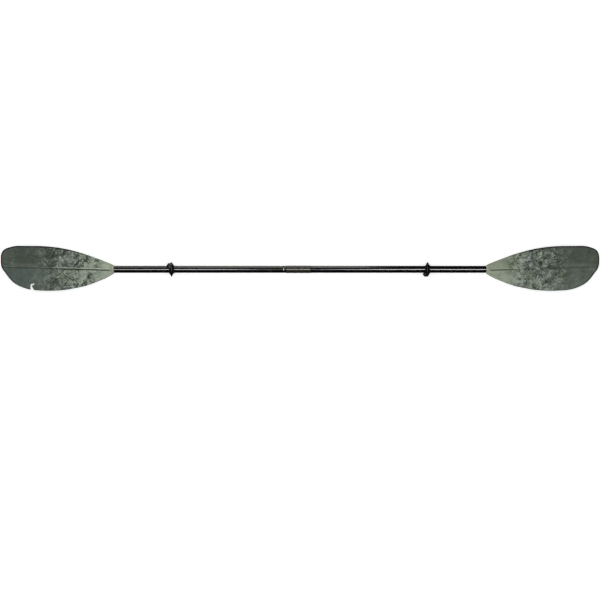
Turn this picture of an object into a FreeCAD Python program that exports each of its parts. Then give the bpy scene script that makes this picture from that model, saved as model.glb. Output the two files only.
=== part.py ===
import FreeCAD, Part

import math
import os

import Sketcher

# A two-piece kayak paddle. X runs along the shaft, +Y is the blades' straight edge and +Z is
# the side of the power faces. The origin lies on the shaft's axis, halfway between the tips.

SIZES = (
    ("overall_length", 2400),
    ("shaft_diameter", 28),
    ("shaft_wall", 1.5),
    ("blade_length", 456),
    ("blade_width", 180),
    ("blade_edge", 3.2),
    ("blade_crown", 1.1),
    ("spoon_rise", 24),
    ("dihedral_drop", 5),
    ("ridge_width", 8),
    ("ridge_height", 1.6),
    ("ridge_start", -2),
    ("ridge_end", 11),
    ("neck_wall", 1.2),
    ("neck_spread", 13),
    ("mouth_hollow", 5),
    ("socket_depth", 75),
    ("glue_gap", 0.05),
    ("joint_place", -6),
    ("seal_thickness", 1.5),
    ("collar_length", 49),
    ("collar_thickness", 0.8),
    ("ferrule_reach", 105),
    ("ferrule_grip", 75),
    ("ferrule_wall", 1.45),
    ("ferrule_fit", 0.05),
    ("nose_length", 14),
    ("nose_plug", 10),
    ("bung_length", 24),
    ("button_distance", 59),
    ("button_diameter", 7),
    ("button_flange", 9.2),
    ("button_flange_thickness", 1.2),
    ("button_proud", 1.8),
    ("button_hole_gap", 0.2),
    ("feather_angle", 60),
    ("strip_width", 8),
    ("strip_thickness", 0.6),
    ("strip_length", 46),
    ("strip_bend", 2.6),
    ("shank_diameter", 3),
    ("ring_left_gap", 229),
    ("ring_right_gap", 232.5),
    ("ring_diameter", 59),
    ("ring_hub_length", 21),
    ("ring_hub_wall", 1.6),
    ("ring_lip_reach", 11),
    ("ring_fin_edge", 3.2),
    ("ring_left_turn", 50),
    ("ring_right_turn", 180),
    ("ring_fit", 0.05),
    ("notch_place", 122),
    ("notch_width", 6.2),
    ("notch_depth", 14),
    ("notch_rise", 7),
    ("notch_hook", 8.4),
)

# Half outlines of a blade as (share of the blade's length from the neck's mouth, share of its width).
UPPER_EDGE = (
    (0.026, 0.117), (0.079, 0.172), (0.158, 0.250), (0.263, 0.342), (0.368, 0.419),
    (0.474, 0.475), (0.579, 0.508), (0.671, 0.521), (0.800, 0.523), (0.882, 0.517),
    (0.934, 0.483), (0.961, 0.456), (0.987, 0.392),
)
LOWER_EDGE = (
    (0.026, 0.128), (0.079, 0.200), (0.158, 0.283), (0.263, 0.375), (0.342, 0.417),
    (0.421, 0.453), (0.500, 0.472), (0.579, 0.478), (0.671, 0.470), (0.750, 0.447),
    (0.829, 0.381), (0.882, 0.303), (0.934, 0.168), (0.961, 0.075), (0.987, -0.017),
)
TIP_HEIGHT_SHARE = 0.215
# Stations of the blade's cross-sections, as shares of its length. The last lies past the tip.
STATIONS = (
    0.0, 0.04, 0.09, 0.165, 0.24, 0.32, 0.40, 0.48, 0.56, 0.64, 0.72, 0.80, 0.88, 0.96, 1.04
)

# Directions of the line notch's legs, in degrees from +X. The three mouth legs fan out, so
# that the notch is wider at the blade's edge than at its corner.
NOTCH_MOUTH_ANGLES = (-84, -73, -62)
NOTCH_RISE_ANGLE = 76
NOTCH_CURL_ANGLE = 11

# Shares of the drip ring's fin: the height of its waist between hub and tip, how wide it is there
# against the hub's half, how deep its foot is buried in the bore and how far the foot spreads
# behind and ahead. Then the round-off at its edge, the angular step of its sections in degrees,
# how far round the lip reaches, and how much of the lip's lean the waist and the foot take.
FIN_WAIST = 0.45
FIN_WAIST_HALF = 0.48
FIN_DEPTH = 0.8
FIN_FOOT_BEHIND = 0.7
FIN_FOOT_AHEAD = 0.95
FIN_ROUND = 0.6
FIN_STEP = 15
LIP_SPREAD = 1.35
WAIST_LEAN = 0.9
FOOT_LEAN = 0.35

SHAFT_RADIUS = "sizes.shaft_diameter / 2"
TUBE_BORE = "(sizes.shaft_diameter / 2 - sizes.shaft_wall)"
MOUTH = "(sizes.overall_length / 2 - sizes.blade_length)"
NECK_BORE = "(sizes.shaft_diameter / 2 + sizes.glue_gap)"
NECK_RADIUS = "(sizes.shaft_diameter / 2 + sizes.glue_gap + sizes.neck_wall)"
TUBE_END = "(sizes.overall_length / 2 - sizes.blade_length + sizes.socket_depth)"
LEFT_JOINT = "(sizes.joint_place - sizes.seal_thickness / 2)"
RIGHT_JOINT = "(sizes.joint_place + sizes.seal_thickness / 2)"
FERRULE_RADIUS = "(sizes.shaft_diameter / 2 - sizes.shaft_wall - sizes.ferrule_fit)"
FERRULE_BORE = "(sizes.shaft_diameter / 2 - sizes.shaft_wall - sizes.ferrule_fit - sizes.ferrule_wall)"
FERRULE_TIP = "(sizes.joint_place - sizes.ferrule_reach)"
FERRULE_END = "(sizes.joint_place + sizes.ferrule_grip)"
BUTTON_PLACE = "(sizes.joint_place - sizes.button_distance)"
BUTTON_HOLE = "(sizes.button_diameter + 2 * sizes.button_hole_gap)"
RING_BORE = "(sizes.shaft_diameter / 2 + sizes.ring_fit)"

doc = FreeCAD.newDocument("kayak_paddle")
sheet = doc.addObject("Spreadsheet::Sheet", "sizes")
sub_parts = []


def fill_sheet():
    """Write the driving dimensions, in millimetres and degrees, one to a row."""
    for row, (alias, value) in enumerate(SIZES, start=1):
        sheet.set(f"A{row}", alias)
        sheet.set(f"B{row}", str(value))
        sheet.setAlias(f"B{row}", alias)
    doc.recompute()


def size(alias):
    """A driving dimension as a number."""
    return float(sheet.get(alias))


def number(expression):
    """The value of an expression on the sheet."""
    return float(sheet.evalExpression(expression))


def vector(x, y, z):
    return FreeCAD.Vector(x, y, z)


def name_part(thing, label):
    """Give a finished sub-part its name and list it for export."""
    thing.Label = label
    sub_parts.append(thing)
    return thing


def bind(thing, **expressions):
    """Bind properties to the sheet. Double underscores stand for dots."""
    for key, expression in expressions.items():
        thing.setExpression(key.replace("__", "."), expression)
    return thing


def primitive(kind, name, **expressions):
    """A Part primitive with every size bound to the sheet."""
    return bind(doc.addObject(f"Part::{kind}", name), **expressions)


def turned(thing, axis, degrees):
    """Turn a primitive about one of the main axes through its own base point."""
    thing.Placement.Rotation = FreeCAD.Rotation(axis, degrees)
    return thing


def fuse(name, *pieces):
    whole = doc.addObject("Part::MultiFuse", name)
    whole.Shapes = list(pieces)
    return whole


def cut(name, base, tool):
    result = doc.addObject("Part::Cut", name)
    result.Base = base
    result.Tool = tool
    return result


def plane_of(body, role):
    """One of the body's own origin planes or axes."""
    return next(f for f in body.Origin.OriginFeatures if f.Role == role)


def polygon_sketch(body, name, plane, corners):
    """A closed polygon on an origin plane. Each corner is a pair of expressions from the origin."""
    sketch = body.newObject("Sketcher::SketchObject", name)
    sketch.AttachmentSupport = (plane_of(body, plane), [""])
    sketch.MapMode = "FlatFace"
    points = [vector(number(across), number(up), 0) for across, up in corners]
    count = len(points)
    for i in range(count):
        sketch.addGeometry(Part.LineSegment(points[i], points[(i + 1) % count]))
    for i in range(count):
        sketch.addConstraint(Sketcher.Constraint("Coincident", i, 2, (i + 1) % count, 1))
    for i, (across, up) in enumerate(corners):
        for kind, expression, value in (
            ("DistanceX", across, points[i].x),
            ("DistanceY", up, points[i].y),
        ):
            index = sketch.addConstraint(Sketcher.Constraint(kind, -1, 1, i, 1, value))
            sketch.setExpression(f"Constraints[{index}]", expression)
    return sketch


def turned_body(name, corners):
    """A body revolved about the shaft's axis from corners given as (along X, radius)."""
    body = doc.addObject("PartDesign::Body", name)
    sketch = polygon_sketch(body, f"{name}_profile", "XZ_Plane", corners)
    revolution = body.newObject("PartDesign::Revolution", f"{name}_turn")
    revolution.Profile = sketch
    revolution.ReferenceAxis = (sketch, ["H_Axis"])
    revolution.Angle = 360
    return body


def ring_corners(start, end, inner, outer):
    """The profile of a plain tube between two places along X."""
    return ((start, inner), (end, inner), (end, outer), (start, outer))


def button_hole(body, name, diameter, start_angle=""):
    """A round hole at the button's place, cut towards +Z. Its plane can start at an angle."""
    sketch = body.newObject("Sketcher::SketchObject", f"{name}_circle")
    sketch.AttachmentSupport = (plane_of(body, "XY_Plane"), [""])
    sketch.MapMode = "FlatFace"
    centre = vector(number(BUTTON_PLACE), 0, 0)
    sketch.addGeometry(Part.Circle(centre, vector(0, 0, 1), number(diameter) / 2))
    sketch.addConstraint(Sketcher.Constraint("PointOnObject", 0, 3, -1))
    place = sketch.addConstraint(Sketcher.Constraint("DistanceX", -1, 1, 0, 3, centre.x))
    sketch.setExpression(f"Constraints[{place}]", BUTTON_PLACE)
    width = sketch.addConstraint(Sketcher.Constraint("Diameter", 0, number(diameter)))
    sketch.setExpression(f"Constraints[{width}]", diameter)
    if start_angle:
        turn = FreeCAD.Rotation(vector(1, 0, 0), number(start_angle))
        sketch.AttachmentOffset = FreeCAD.Placement(vector(0, 0, 0), turn)
        sketch.setExpression("AttachmentOffset.Rotation.Angle", start_angle)
    doc.recompute()
    before = body.Shape.Volume
    pocket = body.newObject("PartDesign::Pocket", name)
    pocket.Profile = sketch
    pocket.Reversed = True
    bind(pocket, Length="sizes.shaft_diameter")
    doc.recompute()
    assert body.Shape.Volume < before, f"{name} cuts nothing"
    return pocket


def spread_holes(body, pocket, count):
    """Repeat a hole round the shaft, evenly from one feather angle to the other."""
    pattern = body.newObject("PartDesign::PolarPattern", f"{pocket.Name}_pattern")
    pattern.Originals = [pocket]
    pattern.Axis = (plane_of(body, "X_Axis"), [""])
    pattern.Occurrences = count
    bind(pattern, Angle="2 * sizes.feather_angle")
    body.Tip = pattern


def between(table, share):
    """A straight-line reading of an outline table at a share of the blade's length."""
    for (low, start), (high, end) in zip(table, table[1:]):
        if low <= share <= high:
            return start + (end - start) * (share - low) / (high - low)
    raise ValueError(share)


def blade_outline():
    """The blade's outline from above, as a wire on the XY plane with the mouth at X = 0."""
    length, width = size("blade_length"), size("blade_width")
    root = number(NECK_RADIUS) - size("neck_wall") / 4
    upper = [vector(0, root, 0)] + [vector(a * length, b * width, 0) for a, b in UPPER_EDGE]
    lower = [vector(0, -root, 0)] + [vector(a * length, -b * width, 0) for a, b in LOWER_EDGE]
    tip = vector(length, TIP_HEIGHT_SHARE * width, 0)
    rim = Part.BSplineCurve()
    rim.interpolate(upper + [tip] + lower[::-1])
    return Part.Wire([rim.toShape(), Part.LineSegment(lower[0], upper[0]).toShape()])


def ease(share):
    """0 to 1 along a half wave, and flat outside that."""
    return 0.5 - 0.5 * math.cos(math.pi * min(max(share, 0.0), 1.0))


class BladeShape:
    """The free-form rules that give a blade's height at any distance from its mouth."""

    SPOON_POWER = 1.8
    # Shares of the blade's length over which the swelling widens, its round section turns
    # into a bell, its height fades on top and on the back, and the dihedral grows.
    WIDENING = 0.25
    BELL_GROWTH = 0.28
    FADE_TOP = 0.36
    FADE_BACK = 0.52
    DIHEDRAL_GROWTH = 0.4
    # Powers of the swelling's section: a half round at the mouth, and how much it gains.
    ROUND_POWER = 0.5
    BELL_GAIN = 1.1
    # The ridge rises over this many millimetres and loses this share of its height by the tip.
    RIDGE_RUN_IN = 30
    RIDGE_LOSS = 0.75
    # Solid plastic past the socket's end, and how far sections reach beyond the outline.
    SOCKET_COVER = 3
    WING_SHARE = 1.25
    FLANK_STEPS = (0.0, 0.2, 0.4, 0.6, 0.8, 0.93, 1.0)

    def __init__(self):
        self.length = size("blade_length")
        self.half_width = size("blade_width") / 2
        self.half_edge = size("blade_edge") / 2
        self.neck = number(NECK_RADIUS)
        self.straight = size("socket_depth") + self.SOCKET_COVER

    def spoon(self, along):
        """How far the blade has risen out of the shaft's line."""
        rest = max(along - self.straight, 0) / (self.length - self.straight)
        return size("spoon_rise") * rest**self.SPOON_POWER

    def ridge(self, along):
        """How far the ridge stands off the shaft's line, across the blade."""
        start, end = size("ridge_start"), size("ridge_end")
        return start + (end - start) * along / self.length

    def hump_reach(self, along):
        """Half the width of the swelling round the socket."""
        share = min(along / (self.WIDENING * self.length), 1)
        return self.neck + size("neck_spread") * math.sin(share * math.pi / 2)

    def hump_height(self, along, fade):
        """How far the swelling stands beyond the plate. Fade is a share of the blade's length."""
        crown = size("blade_crown")
        tall = self.neck - self.half_edge
        return tall + (crown - tall) * ease((along - self.straight) / (fade * self.length))

    def droop(self, along, across):
        """How far the plate falls towards its edges, for the dihedral."""
        grown = ease(along / (self.DIHEDRAL_GROWTH * self.length))
        return size("dihedral_drop") * grown * abs(across - self.ridge(along)) / self.half_width

    def flank(self, along, side, face, fade, first):
        """Points on one flank, from the ridge's foot outwards. Face is 1 on top and -1 below."""
        ridge, reach = self.ridge(along), self.hump_reach(along)
        bell = ease(along / (self.BELL_GROWTH * self.length))
        power = self.ROUND_POWER + self.BELL_GAIN * bell
        points = []
        for step in self.FLANK_STEPS:
            share = (first + step * (reach - first)) / reach
            across = ridge + side * share * reach
            swell = self.hump_height(along, fade) * (1 - share * share) ** power
            height = self.spoon(along) - self.droop(along, across)
            points.append(vector(along, across, height + face * (self.half_edge + swell)))
        return points

    def wing_tip(self, along, side, face):
        """The outer corner of a section, well outside the outline."""
        across = side * self.WING_SHARE * self.half_width
        height = self.spoon(along) - self.droop(along, across)
        return vector(along, across, height + face * self.half_edge)

    def section(self, along):
        """One closed cross-section, from the ridge's crest round by the +Y side."""
        foot = size("ridge_width") / 2
        loss = self.RIDGE_LOSS * along / self.length
        rise = size("ridge_height") * ease(along / self.RIDGE_RUN_IN) * (1 - loss)
        top = [self.flank(along, side, 1, self.FADE_TOP, foot) for side in (1, -1)]
        back = [self.flank(along, side, -1, self.FADE_BACK, 0.0) for side in (1, -1)]
        crest = (top[0][0] + top[1][0]) * 0.5 + vector(0, 0, rise)
        ends = {(s, f): self.wing_tip(along, s, f) for s in (1, -1) for f in (1, -1)}
        under = back[0][::-1] + back[1][1:]
        runs = (
            (crest, top[0][0]),
            top[0],
            (top[0][-1], ends[1, 1]),
            (ends[1, 1], ends[1, -1]),
            (ends[1, -1], under[0]),
            under,
            (under[-1], ends[-1, -1]),
            (ends[-1, -1], ends[-1, 1]),
            (ends[-1, 1], top[1][-1]),
            top[1][::-1],
            (top[1][0], crest),
        )
        return Part.Wire([run_edge(run) for run in runs])


def run_edge(run):
    """A straight edge through two points, or a smooth one through more."""
    if len(run) == 2:
        return Part.LineSegment(*run).toShape()
    curve = Part.BSplineCurve()
    curve.interpolate(list(run))
    return curve.toShape()


def blade_blank():
    """The blade's plate, swelling and ridge inside its outline, with the mouth at X = 0."""
    rules = BladeShape()
    slab = Part.makeLoft([rules.section(share * rules.length) for share in STATIONS], True, False)
    deep = size("shaft_diameter") * 2 + size("spoon_rise")
    outline = Part.Face(blade_outline())
    outline.translate(vector(0, 0, -deep))
    blank = slab.common(outline.extrude(vector(0, 0, 2 * deep)))
    return blank.Solids[0]


def make_right_blade():
    """The blade on +X: free-form blank, round neck, blind socket and hollowed mouth."""
    blank = doc.addObject("Part::Feature", "blade_blank")
    blank.Shape = blade_blank()
    bind(blank, Placement__Base__x=MOUTH)
    neck = primitive(
        "Cylinder", "neck_barrel", Radius=NECK_RADIUS, Height="0.9 * sizes.socket_depth",
        Placement__Base__x=MOUTH,
    )
    socket = primitive(
        "Cylinder", "neck_socket", Radius=NECK_BORE, Height="sizes.socket_depth + 1",
        Placement__Base__x=f"{MOUTH} - 1 + sizes.glue_gap",
    )
    for piece in (neck, socket):
        turned(piece, vector(0, 1, 0), 90)
    bow = f"(({NECK_RADIUS} ^ 2 + sizes.mouth_hollow ^ 2) / (2 * sizes.mouth_hollow))"
    mouth = primitive(
        "Cylinder", "mouth_cutter", Radius=bow, Height="2 * sizes.shaft_diameter",
        Placement__Base__x=f"{MOUTH} + sizes.mouth_hollow - {bow}",
        Placement__Base__z="-sizes.shaft_diameter",
    )
    solid = fuse("blade_with_neck", blank, neck)
    hollow = fuse("neck_hollows", socket, mouth)
    return name_part(cut("right_blade_cut", solid, hollow), "right_blade")


def slot_bar(name, start, angle, length):
    """A slot with round ends, through the blade from above. Start is a pair of expressions."""
    half = "sizes.notch_width / 2"
    deep = "(sizes.shaft_diameter + sizes.spoon_rise)"
    sine, cosine = math.sin(math.radians(angle)), math.cos(math.radians(angle))
    common = {"Height": f"2 * {deep}", "Placement__Base__z": f"-{deep}"}
    bar = primitive(
        "Box", f"{name}_bar", Length=length, Width="sizes.notch_width", **common,
        Placement__Base__x=f"{start[0]} + {half} * {sine:.6f}",
        Placement__Base__y=f"{start[1]} - {half} * {cosine:.6f}",
    )
    turned(bar, vector(0, 0, 1), angle)
    ends = [
        primitive(
            "Cylinder", f"{name}_{end}", Radius=half, **common,
            Placement__Base__x=f"{start[0]} + ({reach}) * {cosine:.6f}",
            Placement__Base__y=f"{start[1]} + ({reach}) * {sine:.6f}",
        )
        for end, reach in (("start", "0"), ("end", length))
    ]
    return fuse(name, bar, *ends)


def make_left_blade(right_blade):
    """The mirror image of the right blade, with the line notch cut in its lower edge."""
    mirrored = doc.addObject("Part::Mirroring", "left_blade_blank")
    mirrored.Source = right_blade
    mirrored.Normal = vector(1, 0, 0)
    share = 1 - size("notch_place") / size("blade_length")
    edge = between(LOWER_EDGE, share)
    corner = (
        "-(sizes.overall_length / 2 - sizes.notch_place)",
        f"(sizes.notch_depth - {edge:.6f} * sizes.blade_width)",
    )
    rise = math.radians(NOTCH_RISE_ANGLE)
    turn = (
        f"({corner[0]} + sizes.notch_rise * {math.cos(rise):.6f})",
        f"({corner[1]} + sizes.notch_rise * {math.sin(rise):.6f})",
    )
    legs = [
        slot_bar(f"notch_leg_{-angle}", corner, angle, "2 * sizes.notch_depth")
        for angle in NOTCH_MOUTH_ANGLES
    ]
    notch = fuse(
        "line_notch",
        *legs,
        slot_bar("notch_rising", corner, NOTCH_RISE_ANGLE, "sizes.notch_rise"),
        slot_bar("notch_curl", turn, NOTCH_CURL_ANGLE, "sizes.notch_hook"),
    )
    return name_part(cut("left_blade_cut", mirrored, notch), "left_blade")


def make_shaft_tubes():
    """The two plain tubes. The left one has the button's three holes near the joint."""
    left = turned_body(
        "left_tube", ring_corners(f"-{TUBE_END}", LEFT_JOINT, TUBE_BORE, SHAFT_RADIUS)
    )
    right = turned_body(
        "right_tube", ring_corners(RIGHT_JOINT, TUBE_END, TUBE_BORE, SHAFT_RADIUS)
    )
    hole = button_hole(left, "button_hole", BUTTON_HOLE, "-sizes.feather_angle")
    spread_holes(left, hole, 3)
    name_part(left, "left_shaft_tube")
    name_part(right, "right_shaft_tube")


def make_collars():
    """A thin reinforcing band on the end of each tube, with its outer ends bevelled."""
    inner = f"({SHAFT_RADIUS} + sizes.glue_gap)"
    outer = f"({SHAFT_RADIUS} + sizes.glue_gap + sizes.collar_thickness)"
    thin = f"({inner} + sizes.collar_thickness / 3)"
    for side, joint, way in (("left", LEFT_JOINT, "-"), ("right", RIGHT_JOINT, "+")):
        far = f"({joint} {way} sizes.collar_length)"
        bevel = f"({joint} {way} (sizes.collar_length - 2 * sizes.collar_thickness))"
        corners = ((joint, inner), (far, inner), (far, thin), (bevel, outer), (joint, outer))
        name_part(turned_body(f"{side}_collar", corners), f"{side}_joint_collar")


def make_ferrule():
    """The inner sleeve, its moulded nose and the foam that closes its other end."""
    sleeve = turned_body(
        "ferrule", ring_corners(FERRULE_TIP, FERRULE_END, FERRULE_BORE, FERRULE_RADIUS)
    )
    button_hole(sleeve, "ferrule_hole", BUTTON_HOLE)
    name_part(sleeve, "ferrule_tube")
    inside = f"({FERRULE_BORE} - sizes.glue_gap)"
    nose = (
        (f"{FERRULE_TIP} + sizes.nose_plug", "0"),
        (f"{FERRULE_TIP} + sizes.nose_plug", inside),
        (FERRULE_TIP, inside),
        (FERRULE_TIP, FERRULE_RADIUS),
        (f"{FERRULE_TIP} - sizes.nose_length / 4", FERRULE_RADIUS),
        (f"{FERRULE_TIP} - sizes.nose_length", f"0.55 * {FERRULE_RADIUS}"),
        (f"{FERRULE_TIP} - sizes.nose_length", "0"),
    )
    name_part(turned_body("nose", nose), "ferrule_nose")
    start = f"({FERRULE_END} - sizes.bung_length)"
    name_part(turned_body("end_bung", bung_corners(start, FERRULE_BORE)), "ferrule_bung")


def bung_corners(start, bore):
    """A solid foam plug from start towards +X, a glue line smaller than its tube's bore."""
    end = f"({start} + sizes.bung_length)"
    radius = f"({bore} - sizes.glue_gap)"
    return ((start, "0"), (end, "0"), (end, radius), (start, radius))


def make_tube_bungs():
    """Foam plugs in both tubes' outer ends and behind the ferrule in the left tube."""
    places = (
        ("left_blade_bung", f"-{TUBE_END}"),
        ("right_blade_bung", f"({TUBE_END} - sizes.bung_length)"),
        ("left_socket_bung", f"({FERRULE_TIP} - sizes.nose_length - 2 * sizes.bung_length)"),
    )
    for label, start in places:
        name_part(turned_body(f"{label}_foam", bung_corners(start, TUBE_BORE)), label)


def make_joint_seal():
    """The ring between the two tube ends. It sits on the ferrule with the ferrule's own fit."""
    corners = ring_corners(LEFT_JOINT, RIGHT_JOINT, TUBE_BORE, SHAFT_RADIUS)
    name_part(turned_body("seal", corners), "joint_seal")


def make_snap_button():
    """A domed stem with a flange that stops it inside the ferrule, and a shank for the strip."""
    top = f"({SHAFT_RADIUS} + sizes.button_proud)"
    dome = "(0.75 * sizes.button_diameter)"
    flange_radius = "sizes.button_flange / 2"
    flange_top = f"(sqrt({FERRULE_BORE} ^ 2 - ({flange_radius}) ^ 2) - sizes.glue_gap)"
    flange_base = f"({flange_top} - sizes.button_flange_thickness)"
    stem = primitive(
        "Cylinder", "button_stem", Radius="sizes.button_diameter / 2",
        Height=f"{top} - {flange_base}",
        Placement__Base__x=BUTTON_PLACE, Placement__Base__z=flange_base,
    )
    ball = primitive(
        "Sphere", "button_dome", Radius=dome,
        Placement__Base__x=BUTTON_PLACE, Placement__Base__z=f"{top} - {dome}",
    )
    domed = doc.addObject("Part::Common", "domed_stem")
    domed.Base = stem
    domed.Tool = ball
    barrel = primitive(
        "Cylinder", "button_barrel", Radius="sizes.button_diameter / 2",
        Height=f"{top} - {dome} - {flange_base}",
        Placement__Base__x=BUTTON_PLACE, Placement__Base__z=flange_base,
    )
    flange = primitive(
        "Cylinder", "button_flange", Radius=flange_radius, Height="sizes.button_flange_thickness",
        Placement__Base__x=BUTTON_PLACE, Placement__Base__z=flange_base,
    )
    shank = primitive(
        "Cylinder", "button_shank", Radius="sizes.shank_diameter / 2",
        Height="2 * sizes.strip_thickness",
        Placement__Base__x=BUTTON_PLACE,
        Placement__Base__z=f"{flange_base} - 2 * sizes.strip_thickness",
    )
    name_part(fuse("button", domed, barrel, flange, shank), "snap_button")
    return flange_base


def make_button_spring(strip_top):
    """A V of flat strip: a pad under the button, a sloping arm, a bend in flats and a base arm."""
    body = doc.addObject("PartDesign::Body", "spring")
    strip = "sizes.strip_thickness"
    floor = f"(sizes.glue_gap - sqrt({FERRULE_BORE} ^ 2 - (sizes.strip_width / 2) ^ 2))"
    pad_start = f"({BUTTON_PLACE} - sizes.button_flange / 2)"
    pad_end = f"({BUTTON_PLACE} + sizes.button_flange / 2 + {strip})"
    bend = f"({BUTTON_PLACE} + sizes.strip_length)"
    bend_end = f"({bend} + sizes.strip_bend)"
    bend_low = f"({floor} + 0.6 * sizes.strip_bend)"
    bend_high = f"({floor} + 1.2 * sizes.strip_bend)"
    bend_top = f"({floor} + 2 * sizes.strip_bend)"
    outside = (
        (pad_start, strip_top),
        (pad_end, strip_top),
        (f"({bend} - {strip})", bend_top),
        (bend_end, bend_high),
        (bend_end, bend_low),
        (bend, floor),
        (pad_start, floor),
    )
    inside = (
        (pad_start, f"({floor} + {strip})"),
        (f"({bend} - {strip} / 2)", f"({floor} + {strip})"),
        (f"({bend_end} - {strip})", f"({bend_low} + {strip} / 2)"),
        (f"({bend_end} - {strip})", f"({bend_high} - {strip} / 2)"),
        (f"({bend} - 2 * {strip})", f"({bend_top} - 1.1 * {strip})"),
        (f"({pad_end} - {strip} / 3)", f"({strip_top} - {strip})"),
        (pad_start, f"({strip_top} - {strip})"),
    )
    sketch = polygon_sketch(body, "spring_profile", "XZ_Plane", outside + inside)
    pad = body.newObject("PartDesign::Pad", "spring_strip")
    pad.Profile = sketch
    pad.Midplane = True
    bind(pad, Length="sizes.strip_width")
    doc.recompute()
    button_hole(body, "spring_eye", "(sizes.shank_diameter + 4 * sizes.glue_gap)")
    name_part(body, "button_spring")


def ring_section(angle):
    """The drip ring's fin at an angle from its lip, as a closed wire in a plane through the axis."""
    lean = max(math.cos(math.radians(angle)), 0.0) ** 2 * ease(LIP_SPREAD - abs(angle) / 90)
    reach = size("ring_lip_reach") * lean
    hub = number(RING_BORE) + size("ring_hub_wall")
    half_hub, tip = size("ring_hub_length") / 2, size("ring_diameter") / 2
    waist = hub + FIN_WAIST * (tip - hub)
    edge = size("ring_fin_edge") / 2
    bevel = FIN_ROUND * edge
    # The fin starts inside the bore, so that it joins the hub all the way through its wall.
    buried = FIN_DEPTH * number(RING_BORE)
    profile = (
        (-FIN_FOOT_BEHIND * half_hub - FOOT_LEAN * reach, buried),
        (-FIN_WAIST_HALF * half_hub - WAIST_LEAN * reach, waist),
        (-edge - reach, tip - bevel),
        (-edge - reach + bevel, tip),
        (edge - bevel, tip),
        (edge, tip - bevel),
        (FIN_WAIST_HALF * half_hub, waist),
        (FIN_FOOT_AHEAD * half_hub, buried),
    )
    sine, cosine = math.sin(math.radians(angle)), math.cos(math.radians(angle))
    corners = [vector(x, r * cosine, r * sine) for x, r in profile]
    return Part.makePolygon(corners + corners[:1])


def make_drip_rings():
    """Rubber rings: a hub, and a fin whose one broad lip leans along the shaft."""
    fin = doc.addObject("Part::Feature", "ring_fin")
    steps = [ring_section(angle) for angle in range(-180, 180, FIN_STEP)]
    fin.Shape = Part.makeLoft(steps, True, False, True)
    half = "sizes.ring_hub_length / 2"
    outer = f"({RING_BORE} + sizes.ring_hub_wall)"
    shoulder = f"({RING_BORE} + sizes.ring_hub_wall / 2)"
    hub = turned_body("ring_hub", (
        (f"-{half}", "0"),
        (half, "0"),
        (half, shoulder),
        (f"({half} - sizes.ring_hub_wall)", outer),
        (f"(sizes.ring_hub_wall - {half})", outer),
        (f"-{half}", shoulder),
    ))
    bore = primitive(
        "Cylinder", "ring_bore", Radius=RING_BORE, Height="2 * sizes.ring_hub_length",
        Placement__Base__x="-sizes.ring_hub_length",
    )
    turned(bore, vector(0, 1, 0), 90)
    solid = fuse("ring_blank", fin, hub)
    sides = (
        ("left", f"-({MOUTH} - sizes.ring_left_gap)", "ring_left_turn"),
        ("right", f"({MOUTH} - sizes.ring_right_gap)", "ring_right_turn"),
    )
    for side, place, turn in sides:
        ring = cut(f"{side}_ring", solid, bore)
        ring.Placement.Rotation = FreeCAD.Rotation(vector(1, 0, 0), size(turn))
        bind(ring, Placement__Base__x=place, Placement__Rotation__Angle=f"sizes.{turn}")
        name_part(ring, f"{side}_drip_ring")


def check_model():
    """Stop if any object failed to compute or any sub-part isn't a sound solid."""
    doc.recompute()
    failed = [thing.Name for thing in doc.Objects if {"Invalid", "Error"} & set(thing.State)]
    assert not failed, f"failed objects: {failed}"
    for thing in sub_parts:
        assert not thing.Shape.isNull() and thing.Shape.isValid(), thing.Label
        assert len(thing.Shape.Solids) == 1, (thing.Label, len(thing.Shape.Solids))


def write_parts():
    """Write each sub-part to its own STEP file."""
    os.makedirs("parts", exist_ok=True)
    for thing in sub_parts:
        thing.Shape.exportStep(f"parts/{thing.Label}.step")
        print(f"{thing.Label}: {thing.Shape.Volume / 1000:.2f} cm3")


fill_sheet()
right_blade = make_right_blade()
make_left_blade(right_blade)
make_shaft_tubes()
make_collars()
make_ferrule()
make_tube_bungs()
make_joint_seal()
make_button_spring(make_snap_button())
make_drip_rings()
check_model()
write_parts()
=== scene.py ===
"""A two-piece kayak paddle: marbled blades, black fibreglass shaft, button joint and drip rings.

X runs along the shaft, +Y is the blades' straight edge and +Z is the power faces' side.
"""

from __future__ import annotations

import logging
import math
from dataclasses import dataclass, field
from enum import Enum
from typing import Any, Iterable, Sequence

import bpy
import numpy as np
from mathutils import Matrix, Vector
from mathutils.geometry import delaunay_2d_cdt

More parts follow.
